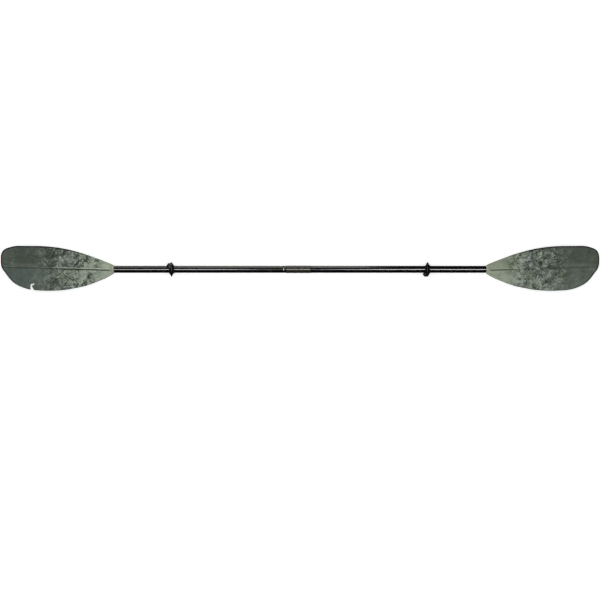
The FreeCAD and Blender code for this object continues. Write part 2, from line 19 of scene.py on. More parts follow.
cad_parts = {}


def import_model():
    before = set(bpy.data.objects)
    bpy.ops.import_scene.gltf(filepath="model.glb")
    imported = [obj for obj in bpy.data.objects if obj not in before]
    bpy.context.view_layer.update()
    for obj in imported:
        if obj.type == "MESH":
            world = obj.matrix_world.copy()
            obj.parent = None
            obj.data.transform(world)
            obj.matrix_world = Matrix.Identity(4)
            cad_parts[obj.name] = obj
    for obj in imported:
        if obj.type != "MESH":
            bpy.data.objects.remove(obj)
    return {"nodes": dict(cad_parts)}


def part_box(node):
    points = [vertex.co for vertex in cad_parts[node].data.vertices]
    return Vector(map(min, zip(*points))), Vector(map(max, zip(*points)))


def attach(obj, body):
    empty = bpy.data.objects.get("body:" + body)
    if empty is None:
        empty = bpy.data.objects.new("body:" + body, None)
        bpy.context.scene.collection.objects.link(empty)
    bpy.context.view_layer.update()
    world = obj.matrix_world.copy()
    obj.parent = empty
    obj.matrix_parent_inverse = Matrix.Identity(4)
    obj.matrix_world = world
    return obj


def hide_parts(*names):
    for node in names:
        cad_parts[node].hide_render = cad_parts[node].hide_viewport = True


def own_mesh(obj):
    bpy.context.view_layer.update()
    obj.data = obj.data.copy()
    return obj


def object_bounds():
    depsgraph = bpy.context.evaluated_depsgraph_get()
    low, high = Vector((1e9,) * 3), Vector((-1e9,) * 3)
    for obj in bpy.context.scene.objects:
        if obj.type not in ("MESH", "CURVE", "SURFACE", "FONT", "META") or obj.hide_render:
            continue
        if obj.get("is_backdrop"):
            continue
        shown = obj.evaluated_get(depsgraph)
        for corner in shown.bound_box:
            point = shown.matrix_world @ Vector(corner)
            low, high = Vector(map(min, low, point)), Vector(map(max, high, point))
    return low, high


log = logging.getLogger("paddle")

MM = 0.001
Colour = tuple[float, float, float]
Point = tuple[float, float]


class Side(Enum):
    """The two halves of the paddle, as directions along X."""

    LEFT = -1
    RIGHT = 1

    @property
    def word(self) -> str:
        """The side's name as it stands in node names."""
        return self.name.lower()


def srgb(red: float, green: float, blue: float) -> Colour:
    """Turn a display colour of 0 to 255 into a linear one.

    Args:
        red, green, blue: the colour as a paint chart gives it.

    Returns:
        The linear colour that shaders take.
    """

    def straight(value: float) -> float:
        """One channel, made linear."""
        share = value / 255
        return share / 12.92 if share <= 0.04045 else ((share + 0.055) / 1.055) ** 2.4

    return (straight(red), straight(green), straight(blue))


def ease(share: Any) -> Any:
    """Run from 0 to 1 along a half wave, flat outside that."""
    return 0.5 - 0.5 * np.cos(np.pi * np.clip(share, 0.0, 1.0))


# ---------------------------------------------------------------- shader maths


class Signal:
    """A socket's value, on which Python expressions add Math nodes."""

    def __init__(self, desk: "ShaderDesk", socket: bpy.types.NodeSocket) -> None:
        """Keep the desk that the node stands on, and the socket."""
        self.desk = desk
        self.socket = socket

    def _maths(self, operation: str, first: Any, second: Any = 0.0, clamp: bool = False) -> "Signal":
        """Add one Math node.

        Args:
            operation: the node's operation.
            first, second: its two values or signals.
            clamp: whether the result stays between 0 and 1.

        Returns:
            The node's result.
        """
        settings = {"operation": operation, "use_clamp": clamp}
        return self.desk.node("ShaderNodeMath", settings, {0: first, 1: second})

    def __add__(self, other: Any) -> "Signal":
        """Sum."""
        return self._maths("ADD", self, other)

    __radd__ = __add__

    def __sub__(self, other: Any) -> "Signal":
        """Difference."""
        return self._maths("SUBTRACT", self, other)

    def __rsub__(self, other: Any) -> "Signal":
        """Difference the other way round, so that 1 - mask works."""
        return self._maths("SUBTRACT", other, self)

    def __mul__(self, other: Any) -> "Signal":
        """Product."""
        return self._maths("MULTIPLY", self, other)

    __rmul__ = __mul__

    def __abs__(self) -> "Signal":
        """Size without sign."""
        return self._maths("ABSOLUTE", self)

    def sine(self) -> "Signal":
        """Sine of the signal in radians."""
        return self._maths("SINE", self)

    def clamped(self) -> "Signal":
        """The signal held between 0 and 1."""
        return self._maths("ADD", self, 0.0, clamp=True)

    def step(self, low: float, high: float) -> "Signal":
        """Run smoothly from 0 at one value to 1 at another.

        Args:
            low: the value that gives 0.
            high: the value that gives 1, which may be the smaller one.

        Returns:
            A mask between 0 and 1.
        """
        settings = {"interpolation_type": "SMOOTHSTEP"}
        falling = high < low
        start, end = (high, low) if falling else (low, high)
        inputs = {"Value": self, "From Min": start, "From Max": end}
        rising = self.desk.node("ShaderNodeMapRange", settings, inputs)
        return 1.0 - rising if falling else rising


class ShaderDesk:
    """A new material's node tree, with one method that adds any node."""

    def __init__(self, name: str) -> None:
        """Make the material with a Principled shader wired to its output."""
        self.material = bpy.data.materials.new(name)
        self.material.use_nodes = True
        self.tree = self.material.node_tree
        self.tree.nodes.clear()
        self.shader = self.tree.nodes.new("ShaderNodeBsdfPrincipled")
        output = self.tree.nodes.new("ShaderNodeOutputMaterial")
        self.tree.links.new(self.shader.outputs[0], output.inputs["Surface"])

    def node(
        self,
        kind: str,
        settings: dict[str, Any] | None = None,
        inputs: dict[int | str, Any] | None = None,
        output: int | str = 0,
    ) -> Signal:
        """Add a node.

        Args:
            kind: the node's type.
            settings: its properties; "stops" gives a colour ramp's places and colours.
            inputs: values or signals for its sockets.
            output: which of its outputs is wanted.

        Returns:
            That output.
        """
        node = self.tree.nodes.new(kind)
        for key, value in (settings or {}).items():
            if key == "stops":
                self._set_stops(node.color_ramp, value)
            else:
                setattr(node, key, value)
        for key, value in (inputs or {}).items():
            self._feed(node.inputs[key], value)
        return Signal(self, node.outputs[output])

    def _set_stops(self, ramp: bpy.types.ColorRamp, stops: Sequence[tuple[float, Colour]]) -> None:
        """Give a ramp its stops, in order of place."""
        while len(ramp.elements) < len(stops):
            ramp.elements.new(1.0)
        for element, (place, colour) in zip(ramp.elements, stops):
            element.position = place
            element.color = (*colour, 1.0)

    def _feed(self, socket: bpy.types.NodeSocket, value: Any) -> None:
        """Link a signal to a socket, or set a plain value on it."""
        if isinstance(value, Signal):
            self.tree.links.new(value.socket, socket)
        elif isinstance(value, tuple) and socket.type == "RGBA" and len(value) == 3:
            socket.default_value = (*value, 1.0)
        else:
            socket.default_value = value

    def place(self) -> Signal:
        """Object coordinates, in metres."""
        return self.node("ShaderNodeTexCoord", output="Object")

    def attribute(self, name: str) -> Signal:
        """A number stored on the mesh."""
        return self.node("ShaderNodeAttribute", {"attribute_name": name}, output="Fac")

    def stretch(self, vector: Signal, scale: tuple[float, float, float]) -> Signal:
        """A vector scaled along each axis."""
        settings = {"operation": "MULTIPLY"}
        return self.node("ShaderNodeVectorMath", settings, {0: vector, 1: scale})

    def axis(self, vector: Signal, name: str) -> Signal:
        """One of a vector's components, named X, Y or Z."""
        return self.node("ShaderNodeSeparateXYZ", inputs={0: vector}, output=name)

    def noise(
        self, vector: Signal, *, scale: float, detail: float = 4.0, rough: float = 0.55,
        warp: float = 0.0,
    ) -> Signal:
        """Cloudy noise around 0.5.

        Args:
            vector: where it is read.
            scale: cells to a metre.
            detail: how many finer layers it has.
            rough: how strong the finer layers are.
            warp: how far it is twisted on itself.

        Returns:
            The noise.
        """
        inputs = {
            "Vector": vector, "Scale": scale, "Detail": detail, "Roughness": rough, "Distortion": warp,
        }
        return self.node("ShaderNodeTexNoise", inputs=inputs)

    def warped(self, vector: Signal, *, scale: float, reach: float) -> Signal:
        """A vector pushed about by coloured noise.

        Args:
            vector: the vector.
            scale: the noise's cells to a metre.
            reach: how far points move, in metres.

        Returns:
            The pushed vector.
        """
        push = self.node("ShaderNodeTexNoise", inputs={"Vector": vector, "Scale": scale}, output=1)
        centred = self.node(
            "ShaderNodeVectorMath", {"operation": "SUBTRACT"}, {0: push, 1: (0.5, 0.5, 0.5)}
        )
        scaled = self.stretch(centred, (reach, reach, reach))
        return self.node("ShaderNodeVectorMath", {"operation": "ADD"}, {0: vector, 1: scaled})

    def ramp(self, value: Signal, stops: Sequence[tuple[float, Colour]]) -> Signal:
        """A colour that runs through the stops as the value grows."""
        return self.node("ShaderNodeValToRGB", {"stops": stops}, {0: value})

    def mix(self, share: Any, first: Any, second: Any, mode: str = "MIX") -> Signal:
        """Mix two colours.

        Args:
            share: how much of the second shows.
            first, second: colours or signals.
            mode: the way they mix.

        Returns:
            The mixed colour.
        """
        settings = {"data_type": "RGBA", "blend_type": mode, "clamp_factor": True}
        return self.node("ShaderNodeMix", settings, {0: share, 6: first, 7: second}, output=2)

    def bump(self, height: Signal, *, strength: float, depth: float) -> Signal:
        """A bumped normal.

        Args:
            height: the surface's height between 0 and 1.
            strength: how much of it shows.
            depth: the height of 1, in metres.

        Returns:
            The normal.
        """
        inputs = {"Height": height, "Strength": strength, "Distance": depth}
        return self.node("ShaderNodeBump", inputs=inputs, output="Normal")

    def finish(self, **sockets: Any) -> bpy.types.Material:
        """Set the Principled shader's sockets.

        Args:
            sockets: values by socket name, with underscores for spaces.

        Returns:
            The finished material.
        """
        for key, value in sockets.items():
            self._feed(self.shader.inputs[key.replace("_", " ")], value)
        return self.material


# ---------------------------------------------------------------- finishes


@dataclass(frozen=True)
class MarbledPlastic:
    """Glass-filled nylon under a printed film that runs from pale sage to dark green.

    The mesh carries four numbers: "along" from the neck to the tip, "across" in metres from the
    ridge, "edge" where painted shade darkens the rim, and "lip" at the neck's mouth, where a painted
    highlight goes.
    """

    name: str
    # Ramps from the neck to the tip; the lower one is painted lighter than the upper one, as painted light
    # on the blade's lower half.
    upper: tuple[tuple[float, Colour], ...]
    lower: tuple[tuple[float, Colour], ...]
    pattern_start: float
    pattern_end: float
    seed: tuple[float, float, float]
    # Strength of the ridge's painted highlight and of the painted shade in its crease, and where that
    # painted shading fades along the blade.
    crest: float
    crease: float
    crease_end: float
    roughness: float = 0.66
    specular: float = 0.22
    # How far the film's colours drift along the blade, where the upper half's colours give way to the
    # lower half's beside the ridge (the lower half's are painted lighter, as painted light), how
    # strong the painted highlight on the mouth's lip is, and how dark the whole print is.
    drift: float = 0.16
    change_over: tuple[float, float] = (0.003, -0.005)
    mouth_wear: float = 0.75
    depth: float = 0.80
    # The rim colour is painted shade along the blade's edge.
    rim: Colour = srgb(9, 11, 10)
    # The mouth colour is a painted highlight on the mouth's lip.
    mouth: Colour = srgb(168, 174, 146)
    # The vein colours print the film's veins and also serve as the ridge's painted shade and painted
    # highlight.
    dark_vein: Colour = srgb(22, 31, 26)
    pale_vein: Colour = srgb(176, 190, 170)
    slate: Colour = srgb(96, 110, 120)
    moss: Colour = srgb(62, 74, 44)

    def make(self) -> bpy.types.Material:
        """Build the material.

        Returns:
            The material.
        """
        desk = ShaderDesk(self.name)
        along = desk.attribute("along")
        across = desk.attribute("across")
        place = desk.node(
            "ShaderNodeVectorMath", {"operation": "ADD"}, {0: desk.place(), 1: self.seed}
        )
        drift = (desk.noise(place, scale=9.0, detail=3.0) - 0.5) * self.drift
        reading = (along + drift).clamped()
        # Painted light: below the ridge the film takes the lower half's lighter ramp.
        painted_lit_lower_half = across.step(*self.change_over)
        ground = desk.mix(
            painted_lit_lower_half, desk.ramp(reading, self.upper), desk.ramp(reading, self.lower)
        )
        colour = self.marbling(desk, place, ground, along + drift)
        colour = self.ridge_lines(desk, place, colour, along, across)
        shade = (self.depth, self.depth, self.depth)
        colour = desk.mix(1.0, colour, shade, "MULTIPLY")

        # The mouth's lip gets a painted highlight, and the rim gets painted shade with a ragged inner
        # edge.
        lip = desk.attribute("lip")
        colour = desk.mix(lip * self.mouth_wear, colour, self.mouth)
        ragged_rim_shade = desk.noise(place, scale=210.0, detail=2.0)
        edge = (desk.attribute("edge") + (ragged_rim_shade - 0.5) * 0.25).step(0.30, 0.62)
        colour = desk.mix(edge, colour, self.rim)

        grain = desk.noise(place, scale=900.0, detail=3.0, rough=0.6)
        dimple = desk.noise(place, scale=260.0, detail=2.0, rough=0.5)
        return desk.finish(
            Base_Color=colour,
            Roughness=self.roughness + 0.16 * dimple - 0.10 * lip,
            Specular_IOR_Level=self.specular,
            Normal=desk.bump(grain * 0.6 + dimple * 0.4, strength=0.35, depth=0.00025),
        )

    def marbling(self, desk: ShaderDesk, place: Signal, ground: Signal, reading: Signal) -> Signal:
        """Print the film's rocks, veins and flecks on its ground colour.

        Args:
            desk: the material's desk.
            place: where the film is read.
            ground: the ground colour.
            reading: how far along the blade the film has run.

        Returns:
            The printed colour.
        """
        flow = desk.warped(place, scale=24.0, reach=0.022)
        fine_flow = desk.warped(flow, scale=85.0, reach=0.007)
        start, end = self.pattern_start, self.pattern_end
        rocky = reading.step(start, start + 0.12) * reading.step(end + 0.22, end - 0.12)
        calm = 1.0 - rocky * 0.85

        # Broad blotches run over all of the film, and patches of rock over its rocky part.
        blotch = desk.noise(flow, scale=17.0, rough=0.6)
        colour = desk.mix(blotch.step(0.50, 0.38) * (0.30 + 0.25 * rocky), ground, self.moss)
        colour = desk.mix(blotch.step(0.55, 0.68) * rocky * 0.60, colour, self.slate)
        patches = desk.noise(flow, scale=44.0, rough=0.65, warp=0.8)
        colour = desk.mix(patches.step(0.47, 0.38) * rocky * 0.85, colour, self.dark_vein)
        colour = desk.mix(patches.step(0.55, 0.64) * rocky * 0.50, colour, self.pale_vein)

        # Veins are where noise crosses its middle: broken dark and pale threads.
        broken = desk.noise(place, scale=38.0, detail=2.0)
        for scale, warp, width, share, thread, here in (
            (40.0, 1.2, 0.040, 0.85, self.dark_vein, broken.step(0.40, 0.50)),
            (52.0, 1.6, 0.034, 0.80, self.pale_vein, broken.step(0.56, 0.46)),
            (90.0, 1.0, 0.050, 0.60, self.dark_vein, broken.step(0.46, 0.54)),
        ):
            noise = desk.noise(fine_flow, scale=scale, detail=2.0, rough=0.5, warp=warp)
            line = abs(noise - 0.5).step(width, width * 0.3)
            colour = desk.mix(line * here * share * (0.10 + 0.90 * rocky), colour, thread)

        # Flecks: small cells, some pale and some dark.
        cells = desk.node(
            "ShaderNodeTexVoronoi", inputs={"Vector": fine_flow, "Scale": 95.0, "Randomness": 1.0}
        )
        chance = desk.noise(place, scale=50.0, detail=1.0)
        for here, fleck in (
            (chance.step(0.56, 0.62), self.pale_vein), (chance.step(0.44, 0.38), self.dark_vein),
        ):
            colour = desk.mix(cells.step(0.44, 0.22) * here * rocky * 0.80, colour, fleck)

        # Quiet mottling where the rocks fade.
        mottle = desk.noise(fine_flow, scale=42.0, rough=0.6)
        colour = desk.mix(mottle.step(0.46, 0.34) * calm * 0.28, colour, self.dark_vein)
        return desk.mix(mottle.step(0.57, 0.72) * calm * 0.14, colour, self.pale_vein)

    def ridge_lines(
        self, desk: ShaderDesk, place: Signal, colour: Signal, along: Signal, across: Signal
    ) -> Signal:
        """Paint a highlight along the ridge's top, painted shade in the crease below it and painted light
        on the bend above.

        Args:
            desk: the material's desk.
            place: where the film is read.
            colour: the film's colour.
            along: the share of the way to the tip.
            across: the distance from the ridge in metres.

        Returns:
            The colour with the ridge's lines.
        """
        # Painted light: a broken pale highlight along the ridge's upper flank, painted shade in the crease
        # under it, and faint painted light on the bend above it towards the tip.
        crest_highlight_breakup = desk.noise(place, scale=70.0, detail=3.0).step(0.36, 0.56)
        near = along.step(0.030, 0.055)
        held = near * (0.15 + 0.85 * along.step(self.crease_end + 0.10, self.crease_end - 0.08))
        crest = across.step(0.0002, 0.0012) * across.step(0.0048, 0.0034)
        crease = across.step(-0.0050, -0.0036) * across.step(0.0008, -0.0004)
        bend = across.step(0.002, 0.005) * across.step(0.020, 0.010) * along.step(0.55, 0.72)
        colour = desk.mix(crest * held * (0.45 + 0.55 * crest_highlight_breakup) * self.crest, colour, self.pale_vein)
        colour = desk.mix(bend * along.step(0.97, 0.88) * 0.09, colour, self.pale_vein)
        return desk.mix(crease * (0.25 * near + 0.75 * held) * self.crease, colour, self.dark_vein)


@dataclass(frozen=True)
class WoundFibreglass:
    """Black fibreglass with the diagonal bands that its windings leave.

    Its clear coat is fresher on the right half, and worn thin by handling on the left.
    """

    name: str
    base: Colour
    band: Colour
    roughness: float
    coat: float
    relief: float = 0.03
    # The bands' pitch and their starts round the tube, where on the wave a band's edge lies, the
    # pitch of a thread wrapped over it, the share of the coat left on the worn half, and the
    # stretch of X over which the coat turns fresh.
    pitch: float = 0.026
    starts: float = 2.0
    band_edge: tuple[float, float] = (0.80, 0.98)
    wrap: float = 0.0
    worn_coat: float = 0.30
    fresh_from: tuple[float, float] = (0.18, 0.36)

    def make(self) -> bpy.types.Material:
        """Build the material.

        Returns:
            The material.
        """
        desk = ShaderDesk(self.name)
        place = desk.place()
        turn = desk.node(
            "ShaderNodeMath",
            {"operation": "ARCTAN2"},
            {0: desk.axis(place, "Y"), 1: desk.axis(place, "Z")},
        )
        run = desk.axis(place, "X") * (2 * math.pi / self.pitch)
        one_way = (run + turn * self.starts).sine() * 0.5 + 0.5
        other_way = (run - turn * self.starts).sine() * 0.5 + 0.5
        bands = one_way.step(*self.band_edge) + other_way.step(*self.band_edge)
        cloth = desk.noise(desk.stretch(place, (1.0, 3.0, 3.0)), scale=130.0, detail=3.0)
        colour = desk.mix((bands * 0.35 + cloth * 0.4).clamped(), self.base, self.band)
        lengthwise = desk.stretch(place, (0.12, 1.0, 1.0))
        smear = desk.noise(lengthwise, scale=60.0, detail=3.0, rough=0.5)
        roughness = self.roughness + 0.08 * smear
        ripple = desk.noise(desk.stretch(place, (0.5, 1.5, 1.5)), scale=60.0, detail=2.0)
        height = bands * 0.1 + ripple * 0.4
        fresh = desk.axis(place, "X").step(*self.fresh_from)
        if self.wrap:
            thread = (desk.axis(place, "X") * (2 * math.pi / self.wrap)).sine() * 0.5 + 0.5
            height = height + thread * 0.8
        return desk.finish(
            Base_Color=colour,
            Roughness=roughness,
            Specular_IOR_Level=0.5,
            Coat_Weight=self.coat * (self.worn_coat + (1 - self.worn_coat) * fresh),
            Coat_Roughness=0.08,
            Normal=desk.bump(height, strength=self.relief, depth=0.00010),
        )


@dataclass(frozen=True)
class BlackRubber:
    """Moulded rubber with a dusty bloom and fine pits."""

    name: str
    base: Colour = srgb(7, 7, 8)
    bloom: Colour = srgb(24, 25, 25)
    roughness: float = 0.36

    def make(self) -> bpy.types.Material:
        """Build the material.

        Returns:
            The material.
        """
        desk = ShaderDesk(self.name)
        place = desk.place()
        dust = desk.noise(place, scale=60.0, detail=5.0, rough=0.65)
        pits = desk.noise(place, scale=700.0, detail=2.0)
        colour = desk.mix(dust.step(0.45, 0.75) * 0.8, self.base, self.bloom)
        return desk.finish(
            Base_Color=colour,
            Roughness=self.roughness + 0.2 * dust,
            Specular_IOR_Level=0.5,
            Normal=desk.bump(pits * 0.5 + dust * 0.5, strength=0.4, depth=0.0002),
        )


@dataclass(frozen=True)
class DrawnSteel:
    """Stainless steel with fine drawing lines and small handling marks."""

    name: str
    base: Colour = srgb(206, 208, 210)
    roughness: float = 0.2
    dull: Colour = srgb(140, 138, 132)

    def make(self) -> bpy.types.Material:
        """Build the material.

        Returns:
            The material.
        """
        desk = ShaderDesk(self.name)
        place = desk.place()
        lines = desk.noise(desk.stretch(place, (30.0, 400.0, 30.0)), scale=8.0, detail=3.0)
        marks = desk.noise(place, scale=420.0, rough=0.7)
        tarnish = desk.mix(marks.step(0.52, 0.70) * 0.5, self.base, self.dull)
        return desk.finish(
            Base_Color=tarnish,
            Metallic=1.0,
            Roughness=self.roughness + 0.18 * marks,
            Normal=desk.bump(lines, strength=0.15, depth=0.00005),
        )


@dataclass(frozen=True)
class ClosedFoam:
    """Grey closed-cell foam, its cut cells showing."""

    name: str
    base: Colour = srgb(78, 80, 82)
    cell: Colour = srgb(44, 45, 47)
    chalk: Colour = srgb(104, 106, 108)

    def make(self) -> bpy.types.Material:
        """Build the material.

        Returns:
            The material.
        """
        desk = ShaderDesk(self.name)
        place = desk.place()
        cells = desk.node("ShaderNodeTexVoronoi", inputs={"Vector": place, "Scale": 900.0})
        tone = desk.noise(place, scale=150.0, detail=3.0)
        walls = cells.step(0.55, 0.20)
        colour = desk.mix(walls * 0.6, self.base, self.cell)
        colour = desk.mix(tone * 0.3, colour, self.chalk)
        return desk.finish(
            Base_Color=colour,
            Roughness=0.85 + 0.1 * tone,
            Normal=desk.bump(walls, strength=0.6, depth=0.0003),
        )


@dataclass(frozen=True)
class StudioFloor:
    """A plain pale floor, lit through from below, with a very slight cloudiness."""

    name: str = "studio_floor"
    light: Colour = srgb(250, 250, 250)
    cloudy: Colour = srgb(246, 246, 246)
    glow: float = 0.35

    def make(self) -> bpy.types.Material:
        """Build the material.

        Returns:
            The material.
        """
        desk = ShaderDesk(self.name)
        cloud = desk.noise(desk.place(), scale=1.5, detail=3.0)
        colour = desk.mix(cloud, self.cloudy, self.light)
        return desk.finish(
            Base_Color=colour,
            Roughness=0.92 + 0.04 * cloud,
            Specular_IOR_Level=0.1,
            Emission_Color=(1.0, 1.0, 1.0),
            Emission_Strength=self.glow,
        )


def shades(*colours: tuple[int, int, int]) -> tuple[tuple[float, Colour], ...]:
    """Spread display colours along a blade.

    Args:
        colours: seven colours, from the neck to the tip.

    Returns:
        The stops of a colour ramp.
    """
    places = (0.00, 0.12, 0.26, 0.40, 0.58, 0.80, 1.00)
    return tuple((place, srgb(*colour)) for place, colour in zip(places, colours, strict=True))


# Each film's lower ramp is painted lighter than its upper one: painted light on the lower half.
LEFT_FILM = MarbledPlastic(
    name="marbled_plastic_left",
    upper=shades(
        (162, 172, 150), (156, 167, 146), (132, 144, 126), (106, 118, 106),
        (68, 79, 67), (66, 76, 66), (76, 85, 78),
    ),
    lower=shades(
        (170, 177, 158), (168, 176, 158), (160, 170, 153), (122, 134, 120),
        (96, 108, 97), (82, 94, 86), (78, 88, 82),
    ),
    pattern_start=0.08,
    pattern_end=0.56,
    seed=(0.0, 0.0, 0.0),
    crest=0.85,
    crease=0.95,
    crease_end=0.50,
)
RIGHT_FILM = MarbledPlastic(
    name="marbled_plastic_right",
    upper=shades(
        (148, 156, 135), (142, 150, 128), (138, 147, 127), (112, 122, 107),
        (82, 91, 75), (74, 82, 67), (76, 84, 70),
    ),
    lower=shades(
        (162, 170, 150), (160, 168, 146), (150, 159, 142), (118, 128, 113),
        (98, 109, 94), (90, 101, 90), (88, 97, 88),
    ),
    pattern_start=0.18,
    pattern_end=0.60,
    seed=(0.37, 0.11, 0.05),
    crest=0.20,
    crease=0.85,
    crease_end=0.22,
)
SHAFT_FINISH = WoundFibreglass(
    "wound_fibreglass", srgb(4, 4, 5), srgb(15, 16, 18), roughness=0.10, coat=1.0
)
COLLAR_FINISH = WoundFibreglass(
    "collar_wrap", srgb(22, 22, 13), srgb(50, 50, 36), roughness=0.17, coat=0.0, relief=0.3, wrap=0.0011
)
FERRULE_FINISH = WoundFibreglass(
    "ferrule_fibreglass", srgb(20, 20, 20), srgb(46, 46, 44), roughness=0.30, coat=0.1, relief=0.3,
    pitch=0.018,
)
RING_FINISH = BlackRubber("ring_rubber")
SEAL_FINISH = BlackRubber("seal_rubber", srgb(22, 22, 22), srgb(46, 46, 46), roughness=0.6)
NOSE_FINISH = BlackRubber("moulded_nylon", srgb(24, 24, 25), srgb(50, 50, 51), roughness=0.42)
FOAM_FINISH = ClosedFoam("closed_foam")
BUTTON_FINISH = DrawnSteel("button_steel")
SPRING_FINISH = DrawnSteel("spring_steel", srgb(150, 152, 156), roughness=0.3)
Finish = MarbledPlastic | WoundFibreglass | BlackRubber | DrawnSteel | ClosedFoam


# ---------------------------------------------------------------- mesh helpers


def mesh_piece(name: str, points: np.ndarray, faces: list[list[int]], crease: float) -> bpy.types.Object:
    """Make a mesh object with smooth shading and sharp creases.

    Args:
        name: the piece's name.
        points: its vertices, in metres.
        faces: its faces, as lists of vertex indices.
        crease: faces that meet at more than this angle, in degrees, keep a sharp edge.

    Returns:
        The object, linked to the scene.
    """
    mesh = bpy.data.meshes.new(name)
    mesh.from_pydata([tuple(map(float, p)) for p in points], [], faces)
    mesh.validate()
    mesh.shade_smooth()
    mesh.set_sharp_from_angle(angle=math.radians(crease))
    mesh.update()
    piece = bpy.data.objects.new(name, mesh)
    bpy.context.scene.collection.objects.link(piece)
    return piece


def store(piece: bpy.types.Object, name: str, values: Iterable[float]) -> None:
    """Store one number to each vertex under a name that shaders read."""
    layer = piece.data.attributes.new(name, "FLOAT", "POINT")
    layer.data.foreach_set("value", np.asarray(list(values), dtype=np.float32))


def dress(piece: bpy.types.Object, material: bpy.types.Material) -> None:
    """Give a piece or a node one material."""
    if piece.material_slots:
        for slot in piece.material_slots:
            slot.material = material
    else:
        piece.data.materials.append(material)


class Curve:
    """A smooth curve through points, spaced by their distances."""

    def __init__(self, points: Sequence[Point]) -> None:
        """Solve a natural cubic spline for both coordinates."""
        self.points = np.array(points, dtype=float)
        gaps = np.linalg.norm(np.diff(self.points, axis=0), axis=1)
        self.knots = np.concatenate(([0.0], np.cumsum(gaps)))
        count = len(points)
        matrix = np.zeros((count, count))
        right = np.zeros((count, 2))
        matrix[0, 0] = matrix[-1, -1] = 1.0
        for i in range(1, count - 1):
            before, after = gaps[i - 1], gaps[i]
            matrix[i, i - 1 : i + 2] = before, 2 * (before + after), after
            slope_after = (self.points[i + 1] - self.points[i]) / after
            slope_before = (self.points[i] - self.points[i - 1]) / before
            right[i] = 6 * (slope_after - slope_before)
        self.bends = np.linalg.solve(matrix, right)

    def at(self, distance: float) -> np.ndarray:
        """Find a point.

        Args:
            distance: how far along the knots it lies.

        Returns:
            The point.
        """
        i = int(np.clip(np.searchsorted(self.knots, distance) - 1, 0, len(self.knots) - 2))
        gap = self.knots[i + 1] - self.knots[i]
        share = (distance - self.knots[i]) / gap
        rest = 1 - share
        straight = rest * self.points[i] + share * self.points[i + 1]
        bend = (rest**3 - rest) * self.bends[i] + (share**3 - share) * self.bends[i + 1]
        return straight + bend * gap * gap / 6

    def samples(self, spacing: float) -> np.ndarray:
        """Points all along the curve, at about this spacing."""
        count = int(self.knots[-1] / spacing)
        return np.array([self.at(self.knots[-1] * i / count) for i in range(count + 1)])


def inside(points: np.ndarray, loop: np.ndarray) -> np.ndarray:
    """Test points against a closed loop.

    Args:
        points: the points.
        loop: the loop's corners.

    Returns:
        True for each point that lies in the loop.
    """
    x, y = points[:, 0][:, None], points[:, 1][:, None]
    start, end = loop, np.roll(loop, -1, axis=0)
    x0, y0, x1, y1 = start[:, 0], start[:, 1], end[:, 0], end[:, 1]
    crosses = (y0 > y) != (y1 > y)
    with np.errstate(divide="ignore", invalid="ignore"):
        meets = x < (x1 - x0) * (y - y0) / (y1 - y0) + x0
    return (crosses & meets).sum(axis=1) % 2 == 1


def distance_to(points: np.ndarray, line: np.ndarray) -> tuple[np.ndarray, np.ndarray]:
    """Measure from points to an open line of corners.

    Args:
        points: the points.
        line: the line's corners.

    Returns:
        Each point's distance, and the index of the nearest stretch.
    """
    start, along = line[:-1], np.diff(line, axis=0)
    reach = (along**2).sum(axis=1)
    best = np.full(len(points), np.inf)
    nearest = np.zeros(len(points), dtype=int)
    for i in range(len(start)):
        offset = points - start[i]
        share = np.clip((offset @ along[i]) / max(reach[i], 1e-18), 0, 1)
        gap = np.linalg.norm(offset - share[:, None] * along[i], axis=1)
        closer = gap < best
        best[closer] = gap[closer]
        nearest[closer] = i
    return best, nearest


# ---------------------------------------------------------------- blades


